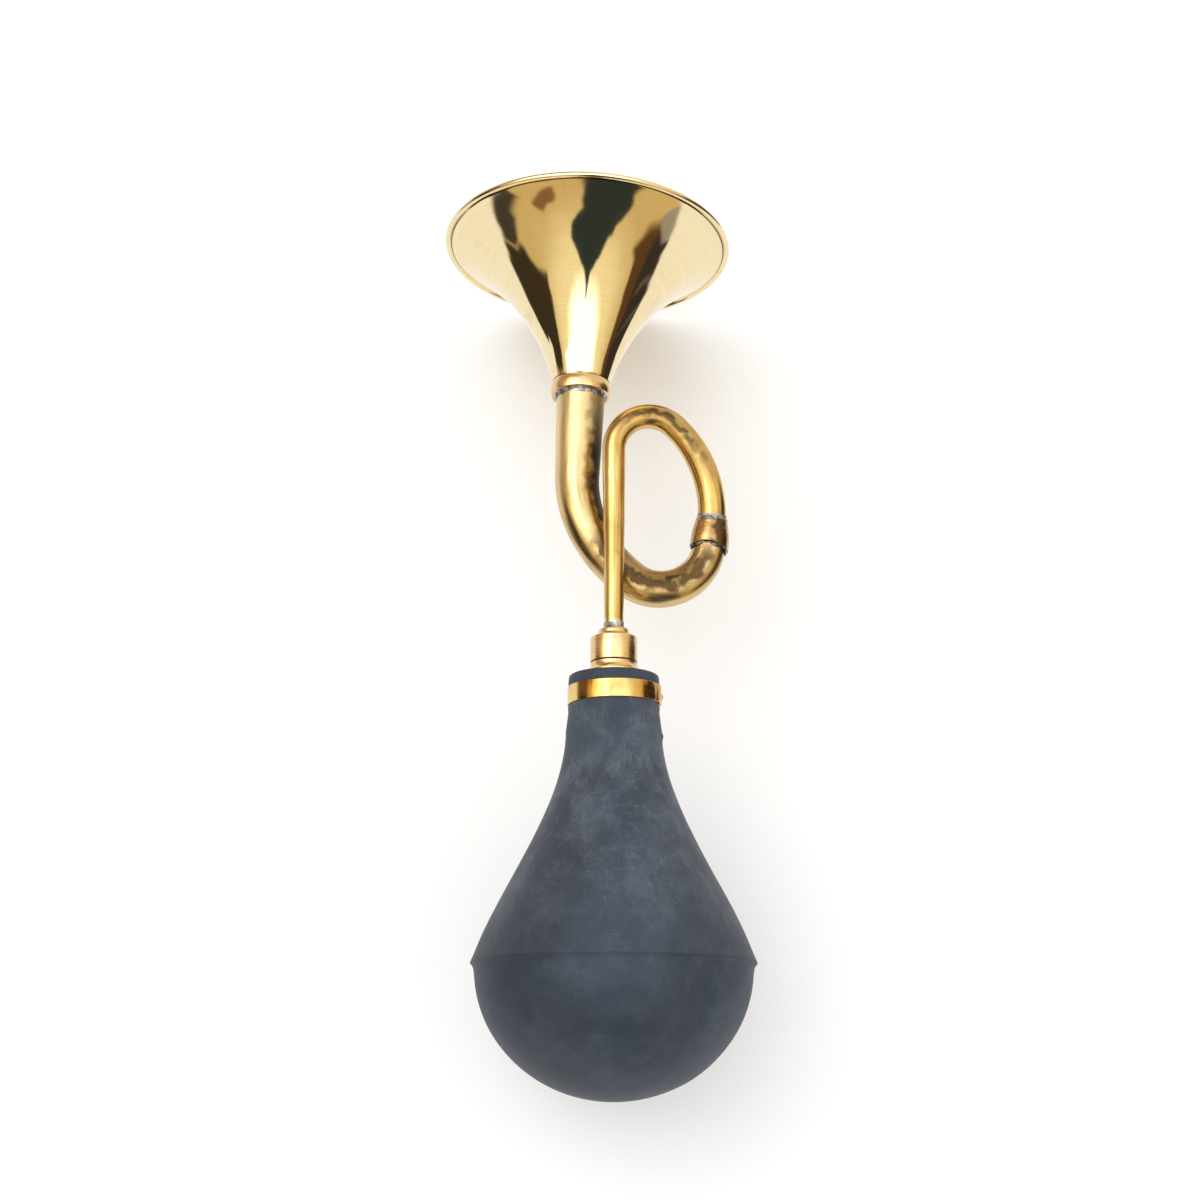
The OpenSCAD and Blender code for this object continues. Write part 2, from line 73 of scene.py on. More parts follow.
RIM_R, BELL_L, BELL_THROAT_R, BELL_T, HEM_R = 57.0, 60.5, 11.2, 0.6, 1.05
BELL_NECK_L, BELL_NECK_FLARE, BELL_FLARE_L, BELL_FLARE_DRAW = 21.2, 5.0, 14.0, 24.0
RING_L, RING_R, RING_SWELL, THROAT_FILLET_L, THROAT_FILLET_R = 5.2, 11.4, 0.4, 2.0, 10.5
SEAT_GAP = 0.05

# The horn's own frame: Y along the bulb axis from the seam ridge, Z up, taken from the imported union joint
union_joint = next(j for j in frame["joints"] if j["name"] == "bulb_unscrew")
axis_y = -Vector(union_joint["axis"]).normalized()
axis_x = Vector((1.0, 0.0, 0.0))
axis_z = axis_x.cross(axis_y).normalized()
origin = Vector(union_joint["pos_m"]) - COLLAR_TOP * MM * axis_y
HORN = Matrix.Translation(origin) @ Matrix((axis_x, axis_y, axis_z)).transposed().to_4x4()


def in_row(p):
    """A point of the horn's frame, in millimetres, as a point of the row frame in metres."""
    return HORN @ (Vector(p) * MM)


# Path of the tube, as in the part's source
def arc_l(r, turn):
    return math.pi * r * turn / 180


RUNS = [
    (STEM_SEAT + STEM_RISE, 0.0),
    (arc_l(TOP_R, TOP_TURN), TOP_TURN),
    (arc_l(SIDE_R, SIDE_TURN), SIDE_TURN),
    (SLEEVE_RUN, 0.0),
    (arc_l(BOTTOM_R, BOTTOM_TURN), BOTTOM_TURN),
    (arc_l(BACK_R, BACK_TURN), BACK_TURN),
    (THROAT_RISE, 0.0),
]
STARTS = [sum(run[0] for run in RUNS[:n]) for n in range(len(RUNS) + 1)]
LOOP_START, SLEEVE_START, BACK_START, THROAT_START, TUBE_END = (STARTS[n] for n in (1, 3, 5, 6, 7))
SLEEVE_MID = SLEEVE_START + SLEEVE_RUN / 2


def arc_end(p, l, turn):
    x, y, heading = p
    a = math.radians(heading)
    if turn == 0:
        return (x + l * math.sin(a), y + l * math.cos(a), heading)
    r = l / math.radians(turn)
    b = math.radians(heading + turn)
    return (x + r * (math.cos(a) - math.cos(b)), y + r * (math.sin(b) - math.sin(a)), heading + turn)


RUN_PLACES = [(0.0, STEM_FOOT, 0.0)]
for run_l, run_turn in RUNS:
    RUN_PLACES.append(arc_end(RUN_PLACES[-1], run_l, run_turn))


def height(l):
    u = min(1.0, max(0.0, (l - LOOP_START) / (BACK_START - LOOP_START)))
    bend = THROAT_START - BACK_START
    v = l - BACK_START
    slope = 0.0 if v <= 0 else v * v / (2 * bend) if v < bend else v - bend / 2
    return -LOOP_DROP * u * u * (3 - 2 * u) - math.tan(math.radians(BELL_DROOP)) * slope


def path(l):
    n = max(k for k in range(len(RUNS)) if k == 0 or STARTS[k] <= l)
    run_l, turn = RUNS[n]
    x, y, _ = arc_end(RUN_PLACES[n], l - STARTS[n], turn * (l - STARTS[n]) / run_l)
    return Vector((x, y, height(l)))


def tube_frame(l):
    """Place on the tube with its direction, its right-hand side and its upper side."""
    near = 0.05
    t = (path(l + near) - path(l - near)).normalized()
    n = t.cross(Vector((0, 0, 1))).normalized()
    return path(l), t, n, n.cross(t)


def axis_frame(s=0.0):
    """Place on the bulb axis with its direction, its right-hand side and its upper side."""
    return Vector((0, s, 0)), Vector((0, 1, 0)), Vector((1, 0, 0)), Vector((0, 0, 1))


def stem_r(l):
    return STEM_FOOT_R + (STEM_END_R - STEM_FOOT_R) * l / SLEEVE_MID


def bend_r(l):
    share = (l - SLEEVE_MID) / (TUBE_END - SLEEVE_MID)
    return min(BEND_END_R, BEND_START_R + (BEND_END_R - BEND_START_R) * share)


def bezier(points, u):
    a, b, c, d = (np.array(p, float) for p in points)
    return a * (1 - u) ** 3 + b * 3 * u * (1 - u) ** 2 + c * 3 * u * u * (1 - u) + d * u ** 3


def quarter(centre, rx, ry, start, end, steps):
    angles = [math.radians(start + (end - start) * i / steps) for i in range(steps + 1)]
    return [(centre[0] + rx * math.cos(a), centre[1] + ry * math.sin(a)) for a in angles]


def wave(x, y, z, scale=1.0):
    """Smooth unevenness from -1 to 1 at a point in millimetres."""
    return noise.noise(Vector((x, y, z)) * scale)


# Mesh helpers
def make_object(name, verts, faces, uvs, material, sharp=40.0):
    mesh = bpy.data.meshes.new(name)
    mesh.from_pydata([in_row(v) for v in verts], [], faces)
    layer = mesh.uv_layers.new(name="unrolled")
    flat = [c for face in uvs for uv in face for c in uv]
    layer.data.foreach_set("uv", flat)
    mesh.polygons.foreach_set("use_smooth", [True] * len(mesh.polygons))
    mesh.validate()
    mesh.update()
    mesh.set_sharp_from_angle(angle=math.radians(sharp))
    obj = bpy.data.objects.new(name, mesh)
    bpy.context.scene.collection.objects.link(obj)
    obj.data.materials.append(material)
    return obj


def skin_rings(rings, closed, lengths):
    """Faces and unrolled coordinates of rings of points; each ring is a loop, or one point at a pole."""
    verts, starts = [], []
    for ring in rings:
        starts.append(len(verts))
        verts.extend(ring)
    faces, uvs = [], []
    count = len(rings)
    for i in range(count if closed else count - 1):
        j = (i + 1) % count
        a, b = rings[i], rings[j]
        sides = max(len(a), len(b))
        v0, v1 = lengths[i], lengths[i + 1]
        for k in range(sides):
            m = (k + 1) % sides
            u0, u1 = k / sides, (k + 1) / sides
            if len(a) == 1 and len(b) == 1:
                continue
            if len(a) == 1:
                faces.append((starts[i], starts[j] + k, starts[j] + m))
                uvs.append(((u0, v0), (u0, v1), (u1, v1)))
            elif len(b) == 1:
                faces.append((starts[i] + k, starts[j], starts[i] + m))
                uvs.append(((u0, v0), (u0, v1), (u1, v0)))
            else:
                faces.append((starts[i] + k, starts[j] + k, starts[j] + m, starts[i] + m))
                uvs.append(((u0, v0), (u0, v1), (u1, v1), (u1, v0)))
    return verts, faces, uvs


def soften(profile, radius):
    """The closed profile with its corners rounded, which gives edges that catch the light."""
    out = []
    count = len(profile)
    flat, longest_cut, steps = math.radians(150), 0.4, 3
    for i, p in enumerate(profile):
        here = Vector(p)
        before, after = Vector(profile[i - 1]) - here, Vector(profile[(i + 1) % count]) - here
        if min(before.length, after.length) < TINY or before.angle(after) > flat:
            out.append(p)
            continue
        cut = min(radius, longest_cut * before.length, longest_cut * after.length)
        a, b = here + before.normalized() * cut, here + after.normalized() * cut
        for k in range(steps + 1):
            u = k / steps
            out.append(tuple(a * (1 - u) ** 2 + here * 2 * u * (1 - u) + b * u * u))
    return out


def fine(profile, step):
    """The open profile with extra points so that no side is longer than step."""
    out = []
    for start, end in zip(profile, profile[1:]):
        a, b = Vector(start), Vector(end)
        parts = max(1, math.ceil((b - a).length / step))
        out.extend(tuple(a.lerp(b, k / parts)) for k in range(parts))
    return out + [profile[-1]]


def revolve(name, profile, place, material, segments=96, closed=True, shape=None, sharp=40.0):
    """A turned piece: profile points are (radius, distance along the axis of place)."""
    p, t, n, b = place
    rings, lengths = [], [0.0]
    loop = list(profile) + ([profile[0]] if closed else [])
    for q, w in zip(loop, loop[1:]):
        lengths.append(lengths[-1] + math.dist(q, w))
    lengths = [l * UV_PER_MM for l in lengths]
    for r, z in profile:
        if r < TINY:
            rings.append([p + t * z])
            continue
        ring = []
        for k in range(segments):
            a = 2 * math.pi * k / segments - math.pi / 2
            rr, zz = (r, z) if shape is None else shape(a, r, z)
            ring.append(p + t * zz + (n * math.cos(a) + b * math.sin(a)) * rr)
        rings.append(ring)
    verts, faces, uvs = skin_rings(rings, closed, lengths)
    return make_object(name, verts, faces, uvs, material, sharp)


def sweep(name, places, radius, wall, material, bump, sides=72, slide=None):
    """A tube along the path, with a wall and an open bore; bump(l, angle) adds to its outer radius, and
    slide(l, angle) moves its points along the tube."""
    outer, inner, lengths = [], [], []
    for l in places:
        p, t, n, b = tube_frame(l)
        angles = [2 * math.pi * k / sides - math.pi / 2 for k in range(sides)]
        dirs = [n * math.cos(a) + b * math.sin(a) for a in angles]
        r = radius(l)
        extra = [bump(l, a) for a in angles]
        middles = [p + t * slide(l, a) if slide else p for a in angles]
        outer.append([m + d * (r + e) for m, d, e in zip(middles, dirs, extra)])
        inner.append([m + d * (r - wall) for m, d in zip(middles, dirs)])
        lengths.append(l * UV_PER_MM)
    rings = outer + inner[::-1]
    verts, faces, uvs = skin_rings(rings, True, lengths + lengths[::-1] + [lengths[0]])
    return make_object(name, verts, faces, uvs, material)


# Node helper for procedural materials
class Nodes:
    def __init__(self, tree):
        self.tree = tree

    def add(self, kind, settings=None, **inputs):
        node = self.tree.nodes.new(kind)
        for key, value in (settings or {}).items():
            setattr(node, key, value)
        for key, value in inputs.items():
            self.set(node, key.replace("_", " "), value)
        return node

    def set(self, node, key, value):
        socket = node.inputs[int(key)] if key.isdigit() else node.inputs[key]
        if isinstance(value, bpy.types.NodeSocket):
            self.tree.links.new(value, socket)
        else:
            socket.default_value = value

    def math(self, operation, a, b=0.0):
        node = self.add("ShaderNodeMath", {"operation": operation})
        self.set(node, "0", a)
        self.set(node, "1", b)
        return node.outputs[0]

    def step(self, value, low, high, out_low=0.0, out_high=1.0):
        """Goes smoothly from out_low to out_high as value goes from low to high."""
        node = self.add("ShaderNodeMapRange", {"interpolation_type": "SMOOTHSTEP", "clamp": True})
        for key, v in zip(range(5), (value, low, high, out_low, out_high)):
            self.set(node, str(key), v)
        return node.outputs[0]

    def window(self, value, low, high, soft):
        rise = self.step(value, low - soft, low + soft)
        fall = self.step(value, high - soft, high + soft, 1.0, 0.0)
        return self.math("MULTIPLY", rise, fall)

    def mix(self, fac, a, b):
        node = self.add("ShaderNodeMix", {"data_type": "RGBA", "clamp_factor": True})
        self.set(node, "0", fac)
        self.set(node, "6", a)
        self.set(node, "7", b)
        return node.outputs[2]

    def scaled(self, vector, scale, turn=(0, 0, 0)):
        node = self.add("ShaderNodeMapping", Scale=scale, Rotation=turn)
        self.set(node, "Vector", vector)
        return node.outputs[0]

    def noise(self, vector, scale, detail=4.0, rough=0.55, distortion=0.0):
        node = self.add("ShaderNodeTexNoise", Scale=scale, Detail=detail, Roughness=rough,
                        Distortion=distortion)
        self.set(node, "Vector", vector)
        return node.outputs["Fac"]

    def bump(self, h, distance):
        node = self.add("ShaderNodeBump", Strength=1.0, Distance=distance)
        self.set(node, "Height", h)
        return node.outputs[0]


def rgb(r, g, b):
    """A colour given as it looks on screen, 0 to 255, in the linear values that shaders use."""
    shares = [c / 255 for c in (r, g, b)]
    linear = [s / 12.92 if s <= 0.04045 else ((s + 0.055) / 1.055) ** 2.4 for s in shares]
    return tuple(linear) + (1.0,)


def new_material(name):
    material = bpy.data.materials.new(name)
    material.use_nodes = True
    tree = material.node_tree
    shader = tree.nodes["Principled BSDF"]
    return material, Nodes(tree), shader


# A mark on brass: where it lies round and along the unrolled piece (low, high, softness), its colour and
# strength, how it breaks up (noise scale, faint, full), and how much of the metal's shine it takes away
Mark = namedtuple("Mark", "across along colour strength broken dull", defaults=[0.0])


def brass(name, pale, deep, tarnish, lines, line_depth, rough, streaks, stain_amount, specks, marks=()):
    """Hand-polished brass with polish lines, streaks, brown tarnish, pits, and marks at unrolled places."""
    material, g, shader = new_material(name)
    coords = g.add("ShaderNodeTexCoord")
    uv, spot = coords.outputs["UV"], coords.outputs["Object"]
    fine_lines = g.noise(g.scaled(uv, lines), 1.0, 6.0, 0.6)
    streak = g.noise(g.scaled(uv, streaks), 1.0, 4.0, 0.55, 0.3)
    stain = g.noise(spot, 55.0, 6.0, 0.62, 0.8)
    pits = g.noise(spot, 950.0, 3.0, 0.6)
    stained = g.step(stain, 0.62 - 0.18 * stain_amount, 0.78, 0.0, stain_amount)
    colour = g.mix(g.step(streak, 0.36, 0.66), pale, deep)
    colour = g.mix(stained, colour, tarnish)
    colour = g.mix(g.step(pits, 0.70, 0.76, 0.0, specks), colour, rgb(70, 48, 20))
    polished = g.step(fine_lines, 0.3, 0.75, rough, rough * 2.1)
    roughness = g.math("ADD", polished, g.math("MULTIPLY", stained, 0.16))
    unrolled = g.add("ShaderNodeSeparateXYZ", Vector=uv)
    ragged = g.step(g.noise(spot, 200.0, 4.0, 0.55), 0.3, 0.7, -0.03, 0.03)
    turned = g.math("ADD", unrolled.outputs["X"], ragged)
    bare = 1.0
    for mark in marks:
        grain, faint, full = mark.broken
        amount = g.step(g.noise(spot, grain, 4.0, 0.6, 0.5), faint, full, 0.0, mark.strength)
        amount = g.math("MULTIPLY", g.window(turned, *mark.across), amount)
        amount = g.math("MULTIPLY", g.window(unrolled.outputs["Y"], *mark.along), amount)
        colour = g.mix(amount, colour, mark.colour)
        roughness = g.math("ADD", roughness, g.math("MULTIPLY", amount, 0.1))
        bare = g.math("MULTIPLY", g.step(amount, 0.0, 1.0, 1.0, 1.0 - mark.dull), bare)
    g.set(shader, "Base Color", colour)
    g.set(shader, "Metallic", bare)
    g.set(shader, "Roughness", roughness)
    relief = g.math("ADD", fine_lines, g.math("MULTIPLY", stain, 0.6))
    g.set(shader, "Normal", g.bump(relief, line_depth))
    return material


# The brown is the tubes' real tarnish; the marks below also use it as painted reflection, in fringes round
# the dark bands.
tube_pale, tube_deep, tarnish_and_reflection_brown = rgb(224, 198, 148), rgb(196, 164, 108), rgb(112, 84, 50)
# The dark band and olive colours are painted reflections of darker parts of the room; the satin colour is a
# real satin finish made lighter as a painted highlight; tinning is real.
painted_dark_reflection, olive_painted_reflection, satin_and_painted_highlight, tinned = rgb(64, 44, 28), rgb(166, 136, 90), rgb(238, 214, 164), rgb(228, 226, 222)
all_round, patchy, cloudy = (-1.0, 2.0, 0.1), (60.0, 0.34, 0.54), (160.0, 0.12, 0.44)
tube_lines, line_depth = (60.0, 6.0, 1.0), 0.00001
# Thick tube: the olive patch, the brown fringes and the near-black bands are painted reflections, and the
# satin top is painted lighter as a painted highlight.
bend_marks = [
    Mark((0.20, 0.56, 0.05), (1.5, 2.2, 0.2), olive_painted_reflection, 0.4, patchy),
    Mark(all_round, (2.42, 3.4, 0.12), satin_and_painted_highlight, 0.8, (60.0, 0.0, 0.3)),
    Mark((0.20, 0.43, 0.04), (2.05, 2.9, 0.08), tarnish_and_reflection_brown, 0.6, cloudy),
    Mark((0.20, 0.395, 0.03), (2.05, 2.64, 0.14), rgb(50, 36, 30), 0.95, (220.0, 0.10, 0.42), dull=0.05),
    Mark((0.36, 0.60, 0.05), (1.57, 2.15, 0.06), tarnish_and_reflection_brown, 0.4, cloudy),
    Mark((0.44, 0.55, 0.025), (1.57, 2.15, 0.06), painted_dark_reflection, 0.86, cloudy),
]
# Thin tube: the tinning by its foot is real; the olive patch, the brown fringe and the dark band on the loop
# are painted reflections.
stem_marks = [
    Mark(all_round, (0.030, 0.068, 0.012), tinned, 0.85, (420.0, 0.34, 0.54), dull=0.3),
    Mark(all_round, (0.75, 1.25, 0.1), olive_painted_reflection, 0.35, patchy),
    Mark((0.42, 0.57, 0.04), (0.84, 1.30, 0.08), tarnish_and_reflection_brown, 0.45, cloudy),
    Mark((0.47, 0.54, 0.025), (0.86, 1.20, 0.08), painted_dark_reflection, 0.82, cloudy),
]
full_length = (0.0, 3.0, 0.1)
# Sleeve: a brown strip and a dark strip along it are painted reflections.
sleeve_marks = [
    Mark((0.415, 0.445, 0.012), full_length, rgb(150, 102, 48), 0.7, cloudy),
    Mark((0.52, 0.66, 0.02), full_length, rgb(96, 74, 50), 0.95, cloudy),
]
# Band: a dark brown stripe round part of it is a painted reflection.
band_marks = [Mark(all_round, (0.668, 0.715, 0.01), rgb(120, 84, 44), 0.8, (200.0, 0.10, 0.40))]
bend_brass = brass("tube_brass", tube_pale, tube_deep, tarnish_and_reflection_brown, tube_lines, line_depth,
                   rough=0.17, streaks=(26.0, 4.0, 1.0), stain_amount=0.6, specks=0.5, marks=bend_marks)
stem_brass = brass("stem_brass", rgb(226, 196, 130), rgb(204, 162, 92), tarnish_and_reflection_brown, tube_lines, line_depth,
                   rough=0.15, streaks=(18.0, 4.0, 1.0), stain_amount=0.5, specks=0.5, marks=stem_marks)
fitting_brass = brass("fitting_brass", rgb(238, 206, 157), rgb(230, 191, 137), rgb(136, 94, 48),
                      lines=(4.0, 300.0, 1.0), line_depth=0.000006, rough=0.16,
                      streaks=(3.0, 90.0, 1.0), stain_amount=0.4, specks=0.5)
sleeve_brass = brass("sleeve_brass", rgb(216, 188, 138), rgb(184, 146, 96), rgb(122, 90, 54),
                     lines=(6.0, 160.0, 1.0), line_depth=0.00001, rough=0.18,
                     streaks=(6.0, 3.0, 1.0), stain_amount=0.6, specks=0.6, marks=sleeve_marks)
band_brass = brass("band_brass", rgb(238, 206, 130), rgb(200, 136, 56), rgb(150, 98, 38),
                   lines=(260.0, 10.0, 1.0), line_depth=0.000006, rough=0.10,
                   streaks=(4.0, 12.0, 1.0), stain_amount=0.5, specks=0.6, marks=band_marks)
reed_brass = brass("reed_brass", rgb(226, 190, 116), rgb(206, 164, 92), rgb(140, 100, 52),
                   lines=(20.0, 60.0, 1.0), line_depth=0.00001, rough=0.22,
                   streaks=(8.0, 20.0, 1.0), stain_amount=0.4, specks=0.4)


def solder_material(name, dull, bright):
    """Soft solder: dull grey, with a few bright wiped spots and dark flux."""
    material, g, shader = new_material(name)
    spot = g.add("ShaderNodeTexCoord").outputs["Object"]
    lumps = g.noise(spot, 420.0, 4.0, 0.55, 0.5)
    flux = g.noise(spot, 240.0, 4.0, 0.6, 0.9)
    colour = g.mix(g.step(lumps, 0.36, 0.68), dull, bright)
    colour = g.mix(g.step(flux, 0.50, 0.66, 0.0, 0.7), colour, rgb(72, 60, 48))
    g.set(shader, "Base Color", colour)
    shader.inputs["Metallic"].default_value = 1.0
    g.set(shader, "Roughness", g.step(lumps, 0.3, 0.7, 0.46, 0.28))
    g.set(shader, "Normal", g.bump(lumps, 0.00008))
    return material


def rubber_material():
    """Matt slate rubber: chalky and wiped towards the neck, with fine grain; the dome is darker, with less
    bloom and with painted shade.
    """
    material, g, shader = new_material("bulb_rubber")
    coords = g.add("ShaderNodeTexCoord")
    spot, uv = coords.outputs["Object"], coords.outputs["UV"]
    cloud = g.noise(spot, 30.0, 6.0, 0.66, 0.3)
    wiped = g.noise(g.scaled(spot, (60.0, 44.0, 60.0), (0.0, 0.0, 0.7)), 1.0, 6.0, 0.68, 0.4)
    smudged = g.noise(g.scaled(spot, (110.0, 60.0, 110.0), (0.0, 0.0, -0.8)), 1.0, 5.0, 0.62, 0.5)
    grain = g.noise(spot, 1500.0, 2.0, 0.5)
    mottle = g.noise(spot, 150.0, 6.0, 0.72, 0.4)
    scratched = g.noise(g.scaled(spot, (900.0, 70.0, 900.0), (0.0, 0.0, 0.35)), 1.0, 3.0, 0.6, 0.8)
    scraped = g.noise(g.scaled(spot, (80.0, 800.0, 800.0), (0.0, 0.0, 0.2)), 1.0, 3.0, 0.6, 0.8)
    along = g.add("ShaderNodeSeparateXYZ", Vector=uv).outputs["Y"]
    on_side = g.step(along, 0.10, 0.17)
    # Bloom on the side of the bulb, none near the lip, fading over the dome: real chalky bloom, and painted
    # shade that darkens the dome.
    bloom_and_dome_shade = g.math("MULTIPLY", g.step(along, 0.65, 1.30, 1.0, 0.25), on_side)
    on_neck = g.window(along, 0.32, 0.50, 0.06)
    colour = g.mix(g.step(cloud, 0.38, 0.66), rgb(43, 52, 65), rgb(61, 70, 83))
    bloom = g.math("MULTIPLY", g.step(wiped, 0.40, 0.68, 0.15, 0.90), bloom_and_dome_shade)
    colour = g.mix(bloom, colour, rgb(86, 94, 106))
    smear = g.math("MULTIPLY", g.step(smudged, 0.52, 0.68, 0.0, 0.34), on_neck)
    colour = g.mix(smear, colour, rgb(112, 117, 124))
    worn = g.math("MAXIMUM", g.step(scratched, 0.57, 0.70), g.step(scraped, 0.60, 0.72))
    worn = g.math("MULTIPLY", worn, g.step(bloom_and_dome_shade, 0.2, 1.0, 0.06, 0.26))
    colour = g.mix(worn, colour, rgb(124, 129, 136))
    colour = g.mix(g.step(mottle, 0.42, 0.66, 0.0, 0.35), colour, rgb(46, 54, 66))
    g.set(shader, "Base Color", colour)
    g.set(shader, "Roughness", g.step(cloud, 0.3, 0.7, 0.50, 0.62))
    shader.inputs["Specular IOR Level"].default_value = 0.32
    relief = g.math("ADD", grain, g.math("MULTIPLY", cloud, 3.0))
    g.set(shader, "Normal", g.bump(relief, 0.00005))
    return material


def plain_material(name, low, high, scale, rough, metallic, depth):
    """Two-tone grained material for the small hidden pieces."""
    material, g, shader = new_material(name)
    spot = g.add("ShaderNodeTexCoord").outputs["Object"]
    grain = g.noise(g.scaled(spot, (1.0, 0.25, 1.0)), scale, 5.0, 0.6, 0.4)
    g.set(shader, "Base Color", g.mix(g.step(grain, 0.35, 0.68), low, high))
    shader.inputs["Metallic"].default_value = metallic
    g.set(shader, "Roughness", g.step(grain, 0.3, 0.7, rough, rough * 1.3))
    g.set(shader, "Normal", g.bump(grain, depth))
    return material


solder = solder_material("solder", rgb(124, 121, 120), rgb(206, 205, 206))
dark_solder = solder_material("dark_solder", rgb(70, 64, 60), rgb(168, 166, 166))
rubber = rubber_material()
leather = plain_material("washer_leather", rgb(40, 30, 22), rgb(66, 50, 38),
                         scale=900.0, rough=0.6, metallic=0.0, depth=0.00006)
wood = plain_material("wedge_wood", rgb(120, 84, 48), rgb(164, 122, 76),
                      scale=1400.0, rough=0.55, metallic=0.0, depth=0.00004)
steel = plain_material("wire_steel", rgb(150, 146, 138), rgb(190, 186, 178),
                       scale=1200.0, rough=0.3, metallic=1.0, depth=0.00001)


def finish_piece(obj, body, slot, *nodes):
    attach(obj, body)
    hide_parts(*nodes)


# Bell: spun skin, rolled hem with its groove, and the inside
bell_p, bell_t, bell_n, bell_b = tube_frame(TUBE_END)
bell_place = (bell_p + bell_t * RING_L, bell_t, bell_n, bell_b)
bell_curve = [
    (BELL_THROAT_R, 0.0),
    (BELL_THROAT_R + BELL_NECK_FLARE, BELL_NECK_L),
    (RIM_R - HEM_R - BELL_FLARE_DRAW, BELL_L - BELL_FLARE_L),
    (RIM_R - HEM_R, BELL_L),
]
BELL_STEPS, HEM_CLEAR, HEM_START, HEM_TURN, HEM_STEPS, HEM_LAP = 120, 0.02, 205.0, 335.0, 28, 0.05
bell_outer = [tuple(bezier(bell_curve, i / BELL_STEPS)) for i in range(BELL_STEPS + 1)]
bell_inner = [(r - BELL_T, z) for r, z in bell_outer]
hem_centre = (RIM_R - HEM_R, BELL_L)
clear_of_hem = [q for q in bell_outer if math.dist(q, hem_centre) > HEM_R + HEM_CLEAR]
clear_inside = [q for q in bell_inner if math.dist(q, hem_centre) > HEM_R + HEM_CLEAR]
hem = quarter(hem_centre, HEM_R, HEM_R, HEM_START, HEM_START - HEM_TURN, HEM_STEPS)
lap_step = [(clear_of_hem[-1][0] + HEM_LAP, clear_of_hem[-1][1] + HEM_LAP)]
groove_v = UV_PER_MM * sum(math.dist(q, w) for q, w in zip(clear_of_hem, clear_of_hem[1:]))
throat_v = 2 * groove_v
bell_marks = [
    # The dark line at the hem's groove is painted shade.
    Mark(all_round, (groove_v - 0.004, groove_v + 0.001, 0.0006), rgb(58, 38, 18), 0.95, (30.0, 0.2, 0.4)),
    Mark(all_round, (-0.01, 0.006, 0.004), rgb(84, 60, 32), 0.9, (120.0, 0.34, 0.54)),
    Mark(all_round, (throat_v - 0.16, throat_v + 0.5, 0.10), rgb(172, 128, 66), 0.9, (60.0, 0.0, 0.2),
         dull=0.3),
]
bell_brass = brass("bell_brass", rgb(245, 228, 188), rgb(243, 223, 178), rgb(200, 162, 102),
                   lines=(3.0, 420.0, 1.0), line_depth=0.000002, rough=0.045,
                   streaks=(2.0, 90.0, 1.0), stain_amount=0.3, specks=0.3, marks=bell_marks)


def bell_shape(a, r, z):
    """The slight unevenness of spun brass, which starts beyond the throat."""
    depth, scale, fade_in = 0.05, 0.06, 20
    x, y = r * math.cos(a), r * math.sin(a)
    return r + depth * wave(x, y, z, scale) * min(1.0, z / fade_in), z


bell = revolve("bell_skin", clear_of_hem + lap_step + hem + clear_inside[::-1], bell_place, bell_brass,
               segments=256, shape=bell_shape, sharp=50.0)
finish_piece(bell, "horn", "bell_brass", "bell")

# Throat ring and the solder behind it
ring_place = (bell_p, bell_t, bell_n, bell_b)
RING_STEPS, RING_EDGE = 16, 0.35
ring_profile = [(BEND_END_R + SEAT_GAP, 0.0)]
for i in range(RING_STEPS + 1):
    u = i / RING_STEPS
    ring_profile += [(RING_R + RING_SWELL * math.sin(math.pi * u), RING_L * u)]
ring_profile += [(BEND_END_R + SEAT_GAP, RING_L)]
throat_ring = revolve("ring", soften(ring_profile, RING_EDGE), ring_place, fitting_brass, segments=128)
finish_piece(throat_ring, "horn", "fitting_brass", "throat_ring")


def top_lift(a):
    """One at the top of a tube, falling to nothing at its sides."""
    return max(0.0, math.sin(a)) ** 1.5


def solder_fillet(name, bore, r_wide, r_thin, length, place, flip, seed, node,
                  spread=0.70, material=solder, dip=0.0):
    """An uneven run of solder round a joint, which swells, thins out and drips along the tube. Flip says
    which way it runs from its place, and dip moves its top back."""
    steps = 10
    shares = [i / steps for i in range(steps + 1)]
    rows = [(r_thin + (r_wide - r_thin) * (1 - u) ** 2, length * u) for u in shares]
    profile = [(bore, 0.0)] + rows + [(bore, length)]
    swell, ripple, lumpy, shortest, thinnest = 0.60, 0.12, 0.10, 0.25, 0.03

    def shape(a, r, z):
        c, s = math.cos(a), math.sin(a)
        run = spread + swell * wave(2.2 * c + seed, 2.2 * s, seed) + ripple * wave(5 * c, 5 * s, seed)
        lump = lumpy * wave(4 * c, 4 * s + seed, z)
        along = z * max(shortest, run) - dip * top_lift(a)
        if r <= bore + TINY:
            return r, flip * along
        keep = (r - bore) * (0.8 + lump + 0.25 * run)
        return bore + max(thinnest, min(keep, r_wide - bore)), flip * along

    order = profile if flip > 0 else profile[::-1]
    obj = revolve(name, order, place, material, segments=128, shape=shape, sharp=60.0)
    finish_piece(obj, "horn", "solder", node)


solder_fillet("solder_throat", BEND_END_R + SEAT_GAP, THROAT_FILLET_R, BEND_END_R + 3 * SEAT_GAP,
              THROAT_FILLET_L, ring_place, flip=-1, seed=3.7, node="throat_solder")

# Tubes: drawn and bent by hand, with a rough brazed seam on the thick one
BRAZE_TURN, BRAZE_WANDER, BRAZE_HALF, BRAZE_H = math.radians(18.0), 0.10, 0.09, 0.14
BEND_DENT, STEM_DENT, TUBE_STEP, BEND_SHORT = 0.06, 0.05, 0.9, 0.3


def seam_angle(l):
    """Where the brazed seam lies round the thick tube, from its right-hand side."""
    return BRAZE_TURN + BRAZE_WANDER * wave(l, 0.0, 4.0, 0.08)


